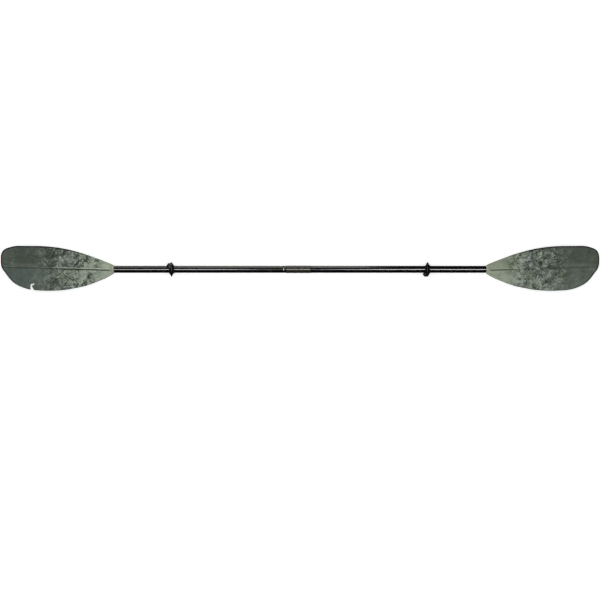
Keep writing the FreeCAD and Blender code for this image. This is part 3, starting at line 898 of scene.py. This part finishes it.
@dataclass
class Blade:
    """A spooned, asymmetric blade with a ridge down its power face and a socket in its neck.

    Lengths are in metres. The blade's own coordinates are u from the neck's mouth to the tip and
    v across it, towards its straight edge.
    """

    side: Side
    film: MarbledPlastic
    length: float = 0.456
    width: float = 0.180
    half_edge: float = 0.0016
    crown: float = 0.0011
    spoon_rise: float = 0.024
    spoon_power: float = 1.8
    dihedral_drop: float = 0.005
    ridge_start: float = -0.002
    ridge_end: float = 0.011
    ridge_half_width: float = 0.0036
    ridge_height: float = 0.0030
    # Where the ridge begins to rise, over what length, the share of its height lost by the tip,
    # and the power of its rounded section.
    ridge_from: float = 0.014
    ridge_growth: float = 0.016
    ridge_loss: float = 0.6
    ridge_power: float = 1.5
    # Shares of the length over which the dihedral grows, the swelling widens, its round section
    # turns into a bell, and its height fades on top and on the back.
    dihedral_share: float = 0.4
    widening_share: float = 0.25
    bell_share: float = 0.28
    fade_top: float = 0.36
    fade_back: float = 0.52
    # The swelling's section: its power at the mouth and how much that gains.
    round_power: float = 0.5
    bell_gain: float = 1.1
    # The neck's barrel: shares of the socket's depth over which it is whole and then sinks in.
    barrel_whole: float = 0.8
    barrel_sinks: float = 0.25
    # Run-ins from the mouth of the plate's thickness, the ridge's offset and the soft blend.
    edge_run_in: float = 0.028
    offset_run_in: float = 0.03
    blend_run_in: float = 0.04
    blend: float = 0.0012
    neck_radius: float = 0.01525
    bore_radius: float = 0.01405
    neck_spread: float = 0.013
    mouth_hollow: float = 0.005
    socket_depth: float = 0.075
    socket_cover: float = 0.003
    lip_width: float = 0.0042
    lip_height: float = 0.0007
    mouth_corner: float = 0.0003
    mouth_count: int = 25
    rim_inset: float = 0.0016
    rim_count: int = 9
    crease: float = 50.0
    # The rim's painted shade: its least width, how much wider it grows, where it grows, how much of
    # that the curved edge has near the neck and gains near the tip, and where it gains it.
    bare_least: float = 0.0008
    bare_gain: float = 0.0039
    bare_from: float = 0.06
    bare_run: float = 0.14
    curved_share: float = 0.20
    curved_gain: float = 0.60
    curved_from: float = 0.80
    curved_run: float = 0.12
    notch: bool = False
    notch_from_tip: float = 0.122
    notch_half_width: float = 0.0031
    notch_depth: float = 0.014
    notch_rise: float = 0.007
    notch_hook: float = 0.0084
    notch_inset: float = 0.0007
    notch_bare: float = 0.0007
    notch_margin: float = 0.001
    notch_spacing: float = 0.0008
    notch_smoothing: int = 3
    arc_step: float = 15.0
    # Directions of the notch's tip-side leg, neck-side leg, rise and curl, in degrees.
    notch_ways: tuple[float, float, float, float] = (264.0, 242.0, 104.0, 169.0)
    # The mesh: its grid, rows beside the rim, the ridge and the mouth in millimetres, how far
    # across it goes, and how close its points may stand.
    grid: float = 0.003
    rim_rows: tuple[float, ...] = (0.9, 2.0, 3.4, 5.0)
    ridge_rows: tuple[float, ...] = (0.0, 0.9, 1.8, 2.6, 3.3, 4.0, 5.2, 6.8)
    mouth_rows: tuple[float, ...] = (0.35, 0.9, 1.6, 2.4, 3.2, 3.8, 4.3, 5.4, 6.8, 8.4)
    beyond_ridge: float = 9.0
    widest: float = 0.11
    neck_widest: float = 0.022
    neck_count: int = 31
    rim_clearance: float = 0.9
    point_gap: float = 1.1
    # The bore's mouth in millimetres: how deep each step lies and how much wider it is.
    bore_steps: tuple[Point, ...] = ((0.0, 0.5), (0.15, 0.1), (0.5, 0.0))
    upper_edge: tuple[Point, ...] = (
        (0.026, 0.117), (0.079, 0.172), (0.158, 0.250), (0.263, 0.342), (0.368, 0.419),
        (0.474, 0.475), (0.579, 0.508), (0.671, 0.521), (0.800, 0.523), (0.882, 0.517),
        (0.934, 0.483), (0.961, 0.456), (0.987, 0.392),
    )
    lower_edge: tuple[Point, ...] = (
        (0.026, 0.128), (0.079, 0.200), (0.158, 0.283), (0.263, 0.375), (0.342, 0.417),
        (0.421, 0.453), (0.500, 0.472), (0.579, 0.478), (0.671, 0.470), (0.750, 0.447),
        (0.829, 0.381), (0.882, 0.303), (0.934, 0.168), (0.961, 0.075), (0.987, -0.017),
    )
    tip_height: float = 0.215

    @property
    def node(self) -> str:
        """The node that this blade stands for."""
        return f"{self.side.word}_blade"

    @property
    def straight(self) -> float:
        """How far the neck runs straight before the spoon begins."""
        return self.socket_depth + self.socket_cover

    def ridge_line(self, u: Any) -> Any:
        """Where the ridge stands across the blade."""
        return self.ridge_start + (self.ridge_end - self.ridge_start) * u / self.length

    def mouth_line(self, v: Any) -> Any:
        """The hollowed mouth: how far along the neck it lies at a distance across."""
        bow = (self.neck_radius**2 + self.mouth_hollow**2) / (2 * self.mouth_hollow)
        inner = np.minimum(np.abs(v), self.neck_radius)
        return self.mouth_hollow - bow + np.sqrt(bow**2 - inner**2)

    def middle(self, u: Any, v: Any) -> Any:
        """The height of the plate's middle."""
        rest = np.clip((u - self.straight) / (self.length - self.straight), 0, None)
        droop = self.dihedral_drop * ease(u / (self.dihedral_share * self.length))
        fall = droop * np.abs(v - self.ridge_line(u)) / (self.width / 2)
        return self.spoon_rise * rest**self.spoon_power - fall

    def half_thickness(self, u: Any, v: Any, fade: float) -> Any:
        """Half the blade's thickness.

        Args:
            u, v: the place.
            fade: the share of the length over which the neck's swelling sinks into the plate.

        Returns:
            The height of the surface over the plate's middle.
        """
        thin = self.half_edge * ease(u / self.edge_run_in)
        reach = self.neck_radius + self.neck_spread * np.sin(
            np.minimum(u / (self.widening_share * self.length), 1) * np.pi / 2
        )
        tall = self.neck_radius - thin
        swell = tall + (self.crown - tall) * ease((u - self.straight) / (fade * self.length))
        offset = self.ridge_line(u) * ease(u / self.offset_run_in)
        share = np.clip(np.abs(v - offset) / reach, 0, 1)
        power = self.round_power + self.bell_gain * ease(u / (self.bell_share * self.length))
        plate = thin + swell * (1 - share**2) ** power
        barrel = np.sqrt(np.clip(self.neck_radius**2 - v**2, 0, None))
        past = u - self.barrel_whole * self.socket_depth
        barrel = barrel * (1 - ease(past / (self.barrel_sinks * self.socket_depth)))
        soft = self.blend * ease(u / self.blend_run_in)
        return 0.5 * (plate + barrel + np.sqrt((plate - barrel) ** 2 + soft**2))

    def top(self, u: Any, v: Any) -> Any:
        """The power face's height, with the ridge and the mouth's lip."""
        rise = self.ridge_height * ease((u - self.ridge_from) / self.ridge_growth)
        rise = rise * (1 - self.ridge_loss * u / self.length)
        share = np.clip(np.abs(v - self.ridge_line(u)) / self.ridge_half_width, 0, 1)
        bead = rise * (1 - share**2) ** self.ridge_power
        return self.middle(u, v) + self.half_thickness(u, v, self.fade_top) + bead + self.lip(u, v)

    def bottom(self, u: Any, v: Any) -> Any:
        """The back face's height."""
        return self.middle(u, v) - self.half_thickness(u, v, self.fade_back) - self.lip(u, v)

    def lip(self, u: Any, v: Any) -> Any:
        """The rounded bead that stiffens the mouth's edge."""
        place = (u - self.mouth_line(v)) / self.lip_width
        return self.lip_height * np.sqrt(np.clip(1 - (2 * place - 1) ** 2, 0, None))

    def edge_curve(self) -> Curve:
        """The outline, from the mouth's upper corner round the tip to its lower corner."""
        corner = self.neck_radius - self.mouth_corner
        upper = [(a * self.length, b * self.width) for a, b in self.upper_edge]
        lower = [(a * self.length, -b * self.width) for a, b in self.lower_edge]
        tip = (self.length, self.tip_height * self.width)
        return Curve([(0.0, corner), *upper, tip, *reversed(lower), (0.0, -corner)])

    def notch_outline(self, edge: np.ndarray) -> np.ndarray:
        """Lay out the hook-shaped line notch that opens in the lower edge.

        Args:
            edge: the outline's points, in order round the tip.

        Returns:
            The notch's own points, from its tip side round the hook to its neck side.
        """
        lower = edge[len(edge) // 2 :][::-1]
        half = self.notch_half_width
        u = self.length - self.notch_from_tip
        corner = np.array((u, np.interp(u, lower[:, 0], lower[:, 1]) + self.notch_depth))

        def way(degrees: float) -> np.ndarray:
            """A unit step in a direction."""
            return np.array((math.cos(math.radians(degrees)), math.sin(math.radians(degrees))))

        def arc(centre: np.ndarray, start: float, end: float) -> list[np.ndarray]:
            """Points round a centre at the notch's half width."""
            steps = max(round(abs(end - start) / self.arc_step), 1)
            return [centre + half * way(start + (end - start) * i / steps) for i in range(steps + 1)]

        def inner(centre: np.ndarray, first: float, second: float) -> np.ndarray:
            """The corner where two sides with these directions outwards meet."""
            return centre + half / math.cos(math.radians((second - first) / 2)) * way((first + second) / 2)

        def out_of_blade(start: np.ndarray, degrees: float) -> np.ndarray:
            """Follow a line in fifths of a millimetre until it leaves the blade."""
            line = start + np.arange(0.0, 40 * MM, 0.2 * MM)[:, None] * way(degrees)
            below = line[:, 1] < np.interp(line[:, 0], lower[:, 0], lower[:, 1])
            return line[int(np.argmax(below))]

        tip_leg, neck_leg, rise, curl = self.notch_ways
        turn = corner + self.notch_rise * way(rise)
        hook_end = turn + self.notch_hook * way(curl)
        tip_side, neck_side = corner + half * way(tip_leg + 90), corner + half * way(neck_leg - 90)
        path = [
            out_of_blade(tip_side, tip_leg),
            *arc(corner, tip_leg + 90 - 360, rise - 90),
            *arc(turn, rise - 90, curl - 90),
            *arc(hook_end, curl - 90, curl + 90),
            inner(turn, rise + 90, curl + 90),
            inner(corner, neck_leg - 90, rise + 90),
            out_of_blade(neck_side, neck_leg),
        ]
        dense = []
        for start, end in zip(path, path[1:]):
            steps = max(round(float(np.linalg.norm(end - start)) / self.notch_spacing), 1)
            dense += [start + (end - start) * i / steps for i in range(steps)]
        return np.array([*dense, path[-1]])

    def rim(self) -> tuple[np.ndarray, np.ndarray, np.ndarray]:
        """Work out the blade's edge.

        Returns:
            The outline's points, how far the rounding reaches in from each, and how wide the
            rim's painted shade is there.
        """
        edge = self.edge_curve().samples(self.grid)
        inset = np.full(len(edge), self.rim_inset)
        if self.notch:
            hook = self.notch_outline(edge)
            lower = np.arange(len(edge)) > len(edge) // 2
            before = ~lower | (edge[:, 0] > hook[0, 0] + self.notch_margin)
            after = lower & (edge[:, 0] < hook[-1, 0] - self.notch_margin)
            edge = np.vstack((edge[before], hook, edge[after]))
            inset = np.concatenate(
                (inset[before], np.full(len(hook), self.notch_inset), inset[after])
            )
            start, end = int(before.sum()) - 1, int(before.sum()) + len(hook) + 1
            here, left, right = slice(start, end), slice(start - 1, end - 1), slice(start + 1, end + 1)
            for _ in range(self.notch_smoothing):
                edge[here] = (edge[left] + 2 * edge[here] + edge[right]) / 4
                inset[here] = (inset[left] + 2 * inset[here] + inset[right]) / 4
        grown = ease((edge[:, 0] - self.bare_from) / self.bare_run)
        beyond = ease((edge[:, 0] / self.length - self.curved_from) / self.curved_run)
        wide = np.where(edge[:, 1] > 0, 1.0, self.curved_share + self.curved_gain * beyond)
        rim_shade_width = self.bare_least + self.bare_gain * grown * wide
        rim_shade_width[inset < 0.8 * self.rim_inset] = self.notch_bare
        return edge, inset, rim_shade_width

    def build(self, mouth: float) -> bpy.types.Object:
        """Build the blade as one closed mesh.

        Args:
            mouth: how far from the origin the neck's mouth lies along X.

        Returns:
            The blade.
        """
        edge, inset, rim_shade_width = self.rim()
        count = len(edge)
        tangent = np.vstack((edge[1] - edge[0], edge[2:] - edge[:-2], edge[-1] - edge[-2]))
        outward = np.stack((-tangent[:, 1], tangent[:, 0]), axis=1)
        outward /= np.linalg.norm(outward, axis=1)[:, None]
        outward[0], outward[-1] = (0.0, 1.0), (0.0, -1.0)
        loop = edge - outward * inset[:, None]
        loop[[0, -1], 0] = self.mouth_line(loop[[0, -1], 1])

        across = np.linspace(loop[-1, 1], loop[0, 1], self.mouth_count)[1:-1]
        mouth_points = np.stack((self.mouth_line(across), across), axis=1)
        border = np.vstack((loop, mouth_points))
        points, triangles, slots = self.fill(border, loop, outward)

        tops = self.top(points[:, 0], points[:, 1])
        bottoms = self.bottom(points[:, 0], points[:, 1])
        total = len(points)
        verts = [np.column_stack((points, tops)), np.column_stack((points, bottoms))]
        faces = [list(t) for t in triangles] + [[total + i for i in reversed(t)] for t in triangles]

        # The rim: half an ellipse from the top skin's border round to the bottom skin's.
        turns = np.linspace(0, math.pi, self.rim_count)[1:-1]
        place = np.array([slots[i] for i in range(count)])
        high, low = tops[place], bottoms[place]
        centre, half = (high + low) / 2, (high - low) / 2
        rings = []
        for turn in turns:
            plan = loop + outward * (inset * math.sin(turn))[:, None]
            plan[[0, -1], 0] = self.mouth_line(plan[[0, -1], 1])
            rings.append(np.column_stack((plan, centre + half * math.cos(turn))))
        base = 2 * total
        verts += rings
        column = [
            [int(place[i]), *(base + k * count + i for k in range(len(turns))), total + int(place[i])]
            for i in range(count)
        ]
        for first, second in zip(column, column[1:]):
            for k in range(len(first) - 1):
                faces.append([first[k], first[k + 1], second[k + 1], second[k]])

        # The mouth: a closed loop of the skins' ends, stepped in to the socket and down it.
        row = [slots[i] for i in range(count, count + len(mouth_points))]
        ends = (
            column[0][::-1][:-1]
            + [int(place[0])] + [int(i) for i in reversed(row)]
            + column[-1][:-1]
            + [total + int(place[-1])] + [total + int(i) for i in row]
        )
        all_verts = np.vstack(verts)
        bore, walls = self.socket(all_verts, ends)
        all_verts = np.vstack((all_verts, bore))
        faces += walls

        flip = self.side.value
        placed = all_verts.copy()
        placed[:, 0] = flip * (mouth + all_verts[:, 0])
        if flip < 0:
            faces = [face[::-1] for face in faces]
        piece = mesh_piece(f"{self.side.word}_blade_shell", placed, faces, self.crease)
        # The edge number fades in the rim's painted shade.
        gap, nearest = distance_to(all_verts[:, :2], edge)
        reach = rim_shade_width[nearest]
        store(piece, "along", all_verts[:, 0] / self.length)
        store(piece, "across", all_verts[:, 1] - self.ridge_line(all_verts[:, 0]))
        store(piece, "edge", np.clip(1 - gap / (2 * reach), 0, 1))
        from_mouth = all_verts[:, 0] - self.mouth_line(all_verts[:, 1])
        store(piece, "lip", 1 - ease((from_mouth - 0.6 * self.lip_width) / (0.5 * self.lip_width)))
        return piece

    def print_film(self, shell: bpy.types.Object, made: dict[str, bpy.types.Material]) -> None:
        """Dress the shell in its film."""
        dress(shell, made[self.film.name])

    def fill(
        self, border: np.ndarray, loop: np.ndarray, outward: np.ndarray
    ) -> tuple[np.ndarray, list[tuple[int, ...]], dict[int, int]]:
        """Fill the blade's plan with triangles that follow its rim, ridge and mouth.

        Args:
            border: the closed border, the rim's points first.
            loop: the rim's inset points.
            outward: the rim's directions outwards.

        Returns:
            The plan's points, its triangles, and where each border point ended up.
        """
        kept = []
        for gap in self.rim_rows:
            row = loop[4:-4] - outward[4:-4] * gap * MM
            clear, _ = distance_to(row, loop)
            kept.append(row[clear > 0.9 * gap * MM])
        beside_ridge = np.array(self.ridge_rows) * MM
        beyond = np.arange(self.beyond_ridge * MM, self.widest, self.grid)
        steps = np.concatenate((beside_ridge, beyond))
        offsets = np.concatenate((-steps[:0:-1], steps))
        near_mouth = np.array(self.mouth_rows) * MM
        stations = np.arange(0.0, self.length, self.grid)
        grid = []
        outside = (np.abs(offsets) > beside_ridge[-1]) * np.sign(offsets)
        for index, u in enumerate(stations):
            shift = 0.5 * self.grid * (index % 2)
            line = self.ridge_line(u) + offsets + shift * outside
            grid.append(np.column_stack((np.full(len(line), u), line)))
        body = np.vstack(grid)
        body = body[body[:, 0] > self.mouth_line(body[:, 1]) + near_mouth[-1] + 1 * MM]
        across = np.linspace(-self.neck_widest, self.neck_widest, self.neck_count)
        neck = np.vstack(
            [np.column_stack((self.mouth_line(across) + gap, across)) for gap in near_mouth]
        )
        inner = np.vstack((body, neck))
        clear, _ = distance_to(inner, loop)
        taken = np.vstack(kept)
        inner = inner[clear > self.rim_clearance * MM]
        gaps = [np.linalg.norm(taken - point, axis=1).min() for point in inner]
        free = np.vstack((taken, inner[np.array(gaps) > self.point_gap * MM]))
        free = free[inside(free, border)]
        flat = [Vector((float(u), float(v))) for u, v in np.vstack((border, free))]
        corners, _, triangles, origins, _, _ = delaunay_2d_cdt(
            flat, [], [list(range(len(border)))], 1, 1e-7
        )
        slots = {source: i for i, sources in enumerate(origins) for source in sources}
        points = np.array([tuple(c) for c in corners])
        ordered = []
        for a, b, c in triangles:
            (ax, ay), (bx, by), (cx, cy) = points[a], points[b], points[c]
            area = (bx - ax) * (cy - ay) - (by - ay) * (cx - ax)
            ordered.append((a, b, c) if area > 0 else (a, c, b))
        return points, ordered, slots

    def socket(self, verts: np.ndarray, ends: list[int]) -> tuple[np.ndarray, list[list[int]]]:
        """Close the mouth with its end face and the bore behind it.

        Args:
            verts: the mesh's points so far.
            ends: the loop of points round the mouth.

        Returns:
            The new points and the new faces.
        """
        outer = verts[ends]
        angle = np.arctan2(outer[:, 2], outer[:, 1])
        ring = np.stack((np.cos(angle), np.sin(angle)), axis=1)
        loops = []
        for depth, wider in (*self.bore_steps, (self.socket_depth / MM, 0.0)):
            along = np.minimum(outer[:, 0] + depth * MM, self.socket_depth)
            loops.append(np.column_stack((along, ring * (self.bore_radius + wider * MM))))
        count, base = len(ends), len(verts)
        faces = []
        previous = ends
        for k in range(len(loops)):
            current = [base + k * count + i for i in range(count)]
            for i in range(count):
                j = (i + 1) % count
                faces.append([previous[i], previous[j], current[j], current[i]])
            previous = current
        faces.append(previous[::-1])
        return np.vstack(loops), faces


# ---------------------------------------------------------------- drip rings


@dataclass
class DripRing:
    """A rubber ring on the shaft: a hub, a fin all round and one scooped lip.

    Profile points are pairs of millimetres: along X from the ring's middle, and radius.
    """

    side: Side
    lip_angle: float
    finish: BlackRubber = RING_FINISH
    steps: int = 120
    lip_full: float = 14.0
    lip_fade: float = 36.0
    half_hub: float = 10.5
    # A moulded fin isn't quite round: past a radius it waves this much, this often.
    wave: float = 0.004
    waves: int = 3
    wave_start: float = 40.0
    wave_from: float = 18.0
    crease: float = 60.0
    plain: tuple[Point, ...] = (
        (-10.4, 14.10), (-10.5, 15.1), (-10.1, 15.8), (-9.4, 16.2), (-9.0, 16.4), (-8.6, 16.6),
        (-8.2, 17.0), (-7.4, 18.0), (-5.2, 21.6), (-3.2, 25.6), (-1.4, 29.2), (0.0, 29.6),
        (1.4, 29.2), (3.2, 25.6), (5.4, 21.2), (7.6, 17.6), (9.0, 16.4), (10.1, 16.2),
        (10.5, 15.3), (10.4, 14.10),
    )
    scooped: tuple[Point, ...] = (
        (-10.4, 14.10), (-10.5, 15.1), (-12.4, 15.3), (-18.0, 15.6), (-19.6, 17.6), (-18.4, 21.8),
        (-16.2, 26.2), (-12.4, 29.7), (-8.8, 29.7), (-4.6, 29.2), (-1.6, 29.6), (0.0, 29.6),
        (1.8, 28.8), (4.4, 24.6), (6.6, 20.0), (8.2, 17.2), (9.2, 16.4), (10.1, 16.2),
        (10.5, 15.3), (10.4, 14.10),
    )

    @property
    def node(self) -> str:
        """The node that this ring stands for."""
        return f"{self.side.word}_drip_ring"

    def lean(self, degrees: float) -> float:
        """How much of the lip shows at an angle from its middle."""
        away = abs((degrees + 180) % 360 - 180)
        return float(ease((self.lip_full + self.lip_fade - away) / self.lip_fade))

    def profile(self, lean: float) -> list[Point]:
        """The section at one angle, with its corners rounded off."""
        corners = [
            (a[0] + (b[0] - a[0]) * lean, a[1] + (b[1] - a[1]) * lean)
            for a, b in zip(self.plain, self.scooped)
        ]
        for _ in range(2):
            cut = [corners[0]]
            for (x0, r0), (x1, r1) in zip(corners, corners[1:]):
                cut += [
                    (0.75 * x0 + 0.25 * x1, 0.75 * r0 + 0.25 * r1),
                    (0.25 * x0 + 0.75 * x1, 0.25 * r0 + 0.75 * r1),
                ]
            corners = [*cut, corners[-1]]
        return corners

    def dress_rubber(self, rubber: bpy.types.Object, made: dict[str, bpy.types.Material]) -> None:
        """Dress the ring in its rubber."""
        dress(rubber, made[self.finish.name])

    def build(self, middle: float) -> bpy.types.Object:
        """Build the ring.

        Args:
            middle: where its middle lies along X.

        Returns:
            The ring.
        """
        points, rings = [], []
        for step in range(self.steps):
            degrees = 360 * step / self.steps
            section = self.profile(self.lean(degrees - self.lip_angle))
            wobble = 1 + self.wave * math.sin(math.radians(self.waves * degrees + self.wave_start))
            sine, cosine = math.sin(math.radians(degrees)), math.cos(math.radians(degrees))
            rings.append([len(points) + k for k in range(len(section))])
            for x, radius in section:
                far = radius * MM * (wobble if radius > self.wave_from else 1.0)
                points.append((middle + x * MM, far * cosine, far * sine))
        faces = []
        for first, second in zip(rings, rings[1:] + rings[:1]):
            for k in range(len(first)):
                after = (k + 1) % len(first)
                faces.append([first[k], second[k], second[after], first[after]])
        name = f"{self.side.word}_drip_ring_rubber"
        return mesh_piece(name, np.array(points), faces, self.crease)


# ---------------------------------------------------------------- shaft and joint


class FramePieces:
    """Pieces that keep the frame's own shapes and only need their finishes."""

    finishes: dict[str, Finish]

    def dress_nodes(
        self, nodes: dict[str, bpy.types.Object], made: dict[str, bpy.types.Material]
    ) -> None:
        """Give the nodes their finishes.

        Args:
            nodes: the frame's nodes by name.
            made: the materials by name.
        """
        for name, finish in self.finishes.items():
            dress(nodes[name], made[finish.name])
            log.info("%s wears %s", name, finish.name)


@dataclass
class ShaftHalf(FramePieces):
    """One tube of the shaft with its joint collar and its foam bungs, as the frame has them."""

    side: Side
    tube_finish: WoundFibreglass = SHAFT_FINISH
    collar_finish: WoundFibreglass = COLLAR_FINISH
    bung_finish: ClosedFoam = FOAM_FINISH

    @property
    def finishes(self) -> dict[str, Finish]:
        """The half's nodes and their finishes."""
        bungs = ("blade_bung", "socket_bung") if self.side is Side.LEFT else ("blade_bung",)
        plan = {"shaft_tube": self.tube_finish, "joint_collar": self.collar_finish}
        plan |= {bung: self.bung_finish for bung in bungs}
        return {f"{self.side.word}_{word}": finish for word, finish in plan.items()}


@dataclass
class Joint(FramePieces):
    """The ferrule, its ends, the seal and the snap button with its spring."""

    button_travel: float = 0.0034
    finishes: dict[str, Finish] = field(
        default_factory=lambda: {
            "ferrule_tube": FERRULE_FINISH,
            "ferrule_nose": NOSE_FINISH,
            "ferrule_bung": FOAM_FINISH,
            "joint_seal": SEAL_FINISH,
            "snap_button": BUTTON_FINISH,
            "button_spring": SPRING_FINISH,
        }
    )

    def flex_spring(self, node: bpy.types.Object, material: bpy.types.Material) -> bpy.types.Object:
        """Stand a copy of the frame's spring in for the button's spring, on the right half.

        Args:
            node: the frame's spring.
            material: its finish.

        Returns:
            The strip.
        """
        strip = bpy.data.objects.new("button_spring_strip", node.data.copy())
        bpy.context.scene.collection.objects.link(strip)
        dress(strip, material)
        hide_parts("button_spring")
        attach(strip, "right_half")
        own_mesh(strip)
        return strip


# ---------------------------------------------------------------- studio


@dataclass(frozen=True)
class Panel:
    """A glowing panel beside or above the shaft: its place along X, its width and its power."""

    name: str
    middle: float
    width: float
    power: float


@dataclass
class Studio:
    """A pale floor, soft light and a camera square above the power faces."""

    floor_size: float = 40.0
    floor_cells: int = 8
    floor_gap: float = 0.0008
    picture_share: float = 1.0024
    axis_above_middle: float = 0.0511
    camera_height: float = 6.0
    sun_strength: float = 0.25
    sun_spread: float = 22.0
    sun_height: float = 4.0
    lamp_colour: Colour = (0.98, 0.99, 1.0)
    sky_colour: Colour = (0.97, 0.985, 1.0)
    sky_strength: float = 0.88
    strip_height: float = 3.2
    strip_width: float = 1.24
    strip_shift: float = -0.18
    strips: tuple[Panel, ...] = (
        Panel("left_strip", middle=-0.83, width=1.24, power=60.0),
        Panel("right_strip", middle=0.78, width=1.34, power=74.0),
    )
    card_colour: Colour = (1.0, 0.93, 0.83)
    card_distance: float = 1.9
    card_middle_height: float = 0.15
    card_height: float = 1.6
    cards: tuple[Panel, ...] = (
        Panel("long_card", middle=-0.95, width=0.94, power=8.6),
        Panel("middle_card", middle=-0.10, width=0.76, power=11.5),
    )

    def build(self, low: Vector, high: Vector) -> None:
        """Set the studio round the object.

        Args:
            low, high: the object's lowest and highest corners.
        """
        self.lay_floor(low.z - self.floor_gap)
        self.hang_lights()
        self.place_camera((high.x - low.x) * self.picture_share)

    def lay_floor(self, height: float) -> None:
        """Lay a floor at a height."""
        half, cells = self.floor_size / 2, self.floor_cells
        marks = np.linspace(-half, half, cells + 1)
        points = np.array([(x, y, height) for y in marks for x in marks])
        row = cells + 1
        corners = [r * row + c for r in range(cells) for c in range(cells)]
        faces = [[i, i + 1, i + row + 1, i + row] for i in corners]
        floor = mesh_piece("studio_floor", points, faces, 30)
        floor.visible_glossy = False
        dress(floor, StudioFloor().make())
        floor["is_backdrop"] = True

    def hang_lights(self) -> None:
        """Hang a sun and a sky for even light, strips for the highlight and warm cards beside."""
        scene = bpy.context.scene
        sky = bpy.data.worlds.new("even_sky")
        sky.use_nodes = True
        background = sky.node_tree.nodes["Background"]
        background.inputs["Color"].default_value = (*self.sky_colour, 1.0)
        background.inputs["Strength"].default_value = self.sky_strength
        sky.cycles_visibility.glossy = False
        scene.world = sky

        sun = bpy.data.lights.new("overhead_sun", "SUN")
        sun.energy = self.sun_strength
        sun.angle = math.radians(self.sun_spread)
        sun.color = self.lamp_colour
        lamp = self.hang("overhead_sun", sun, (0.0, 0.0, self.sun_height), 0.0)
        lamp.visible_glossy = False

        overhead = (self.strip_width, (self.strip_shift, self.strip_height), 0.0, self.lamp_colour)
        beside = (self.card_height, (self.card_distance, self.card_middle_height), -90.0, self.card_colour)
        for row, (depth, (y, z), tilt, colour) in ((self.strips, overhead), (self.cards, beside)):
            for panel in row:
                card = bpy.data.lights.new(panel.name, "AREA")
                card.shape = "RECTANGLE"
                card.size, card.size_y = panel.width, depth
                card.energy = panel.power
                card.color = colour
                lamp = self.hang(panel.name, card, (panel.middle, y, z), tilt)
                lamp.visible_camera = False
                lamp.visible_diffuse = row is self.cards

    def hang(
        self, name: str, light: bpy.types.Light, place: tuple[float, float, float], tilt: float
    ) -> bpy.types.Object:
        """Hang a light that is tilted about the shaft's direction.

        Args:
            name: its name.
            light: its data.
            place: where it hangs.
            tilt: how far it is turned from facing straight down, in degrees.

        Returns:
            The lamp.
        """
        lamp = bpy.data.objects.new(name, light)
        lamp.location = place
        lamp.rotation_euler = (math.radians(tilt), 0.0, 0.0)
        bpy.context.scene.collection.objects.link(lamp)
        return lamp

    def place_camera(self, span: float) -> None:
        """Put the camera square above the paddle, which lies a little above the picture's middle."""
        lens = bpy.data.cameras.new("camera")
        lens.type = "ORTHO"
        lens.ortho_scale = span
        camera = bpy.data.objects.new("camera", lens)
        camera.location = (0.0, -self.axis_above_middle * span, self.camera_height)
        bpy.context.scene.collection.objects.link(camera)
        bpy.context.scene.camera = camera
        bpy.context.scene.view_settings.view_transform = "Standard"


# ---------------------------------------------------------------- making


def build_paddle() -> None:
    """Load the frame, build and dress every piece, and set the studio."""
    logging.basicConfig(level=logging.INFO, format="%(name)s: %(message)s")
    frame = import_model()
    cad_low, cad_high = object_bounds()
    nodes = frame["nodes"]
    finishes = (
        LEFT_FILM, RIGHT_FILM, SHAFT_FINISH, COLLAR_FINISH, FERRULE_FINISH, RING_FINISH, SEAL_FINISH,
        NOSE_FINISH, FOAM_FINISH, BUTTON_FINISH, SPRING_FINISH,
    )
    made = {finish.name: finish.make() for finish in finishes}

    for side, film in ((Side.LEFT, LEFT_FILM), (Side.RIGHT, RIGHT_FILM)):
        ShaftHalf(side).dress_nodes(nodes, made)
        blade = Blade(side, film, notch=side is Side.LEFT)
        low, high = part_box(blade.node)
        mouth = min(abs(low[0]), abs(high[0]))
        shell = blade.build(mouth)
        blade.print_film(shell, made)
        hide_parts(blade.node)
        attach(shell, f"{side.word}_half")
        log.info("%s: %d faces", shell.name, len(shell.data.polygons))

    for ring in (DripRing(Side.LEFT, lip_angle=50.0), DripRing(Side.RIGHT, lip_angle=180.0)):
        side = ring.side
        low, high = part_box(ring.node)
        rubber = ring.build(high[0] - ring.half_hub * MM)
        ring.dress_rubber(rubber, made)
        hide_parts(ring.node)
        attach(rubber, f"{side.word}_ring")
        log.info("%s: %d faces", rubber.name, len(rubber.data.polygons))

    joint = Joint()
    joint.dress_nodes(nodes, made)
    joint.flex_spring(nodes["button_spring"], made[SPRING_FINISH.name])
    Studio().build(cad_low, cad_high)

    low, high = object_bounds()


if __name__ == "__main__":
    build_paddle()
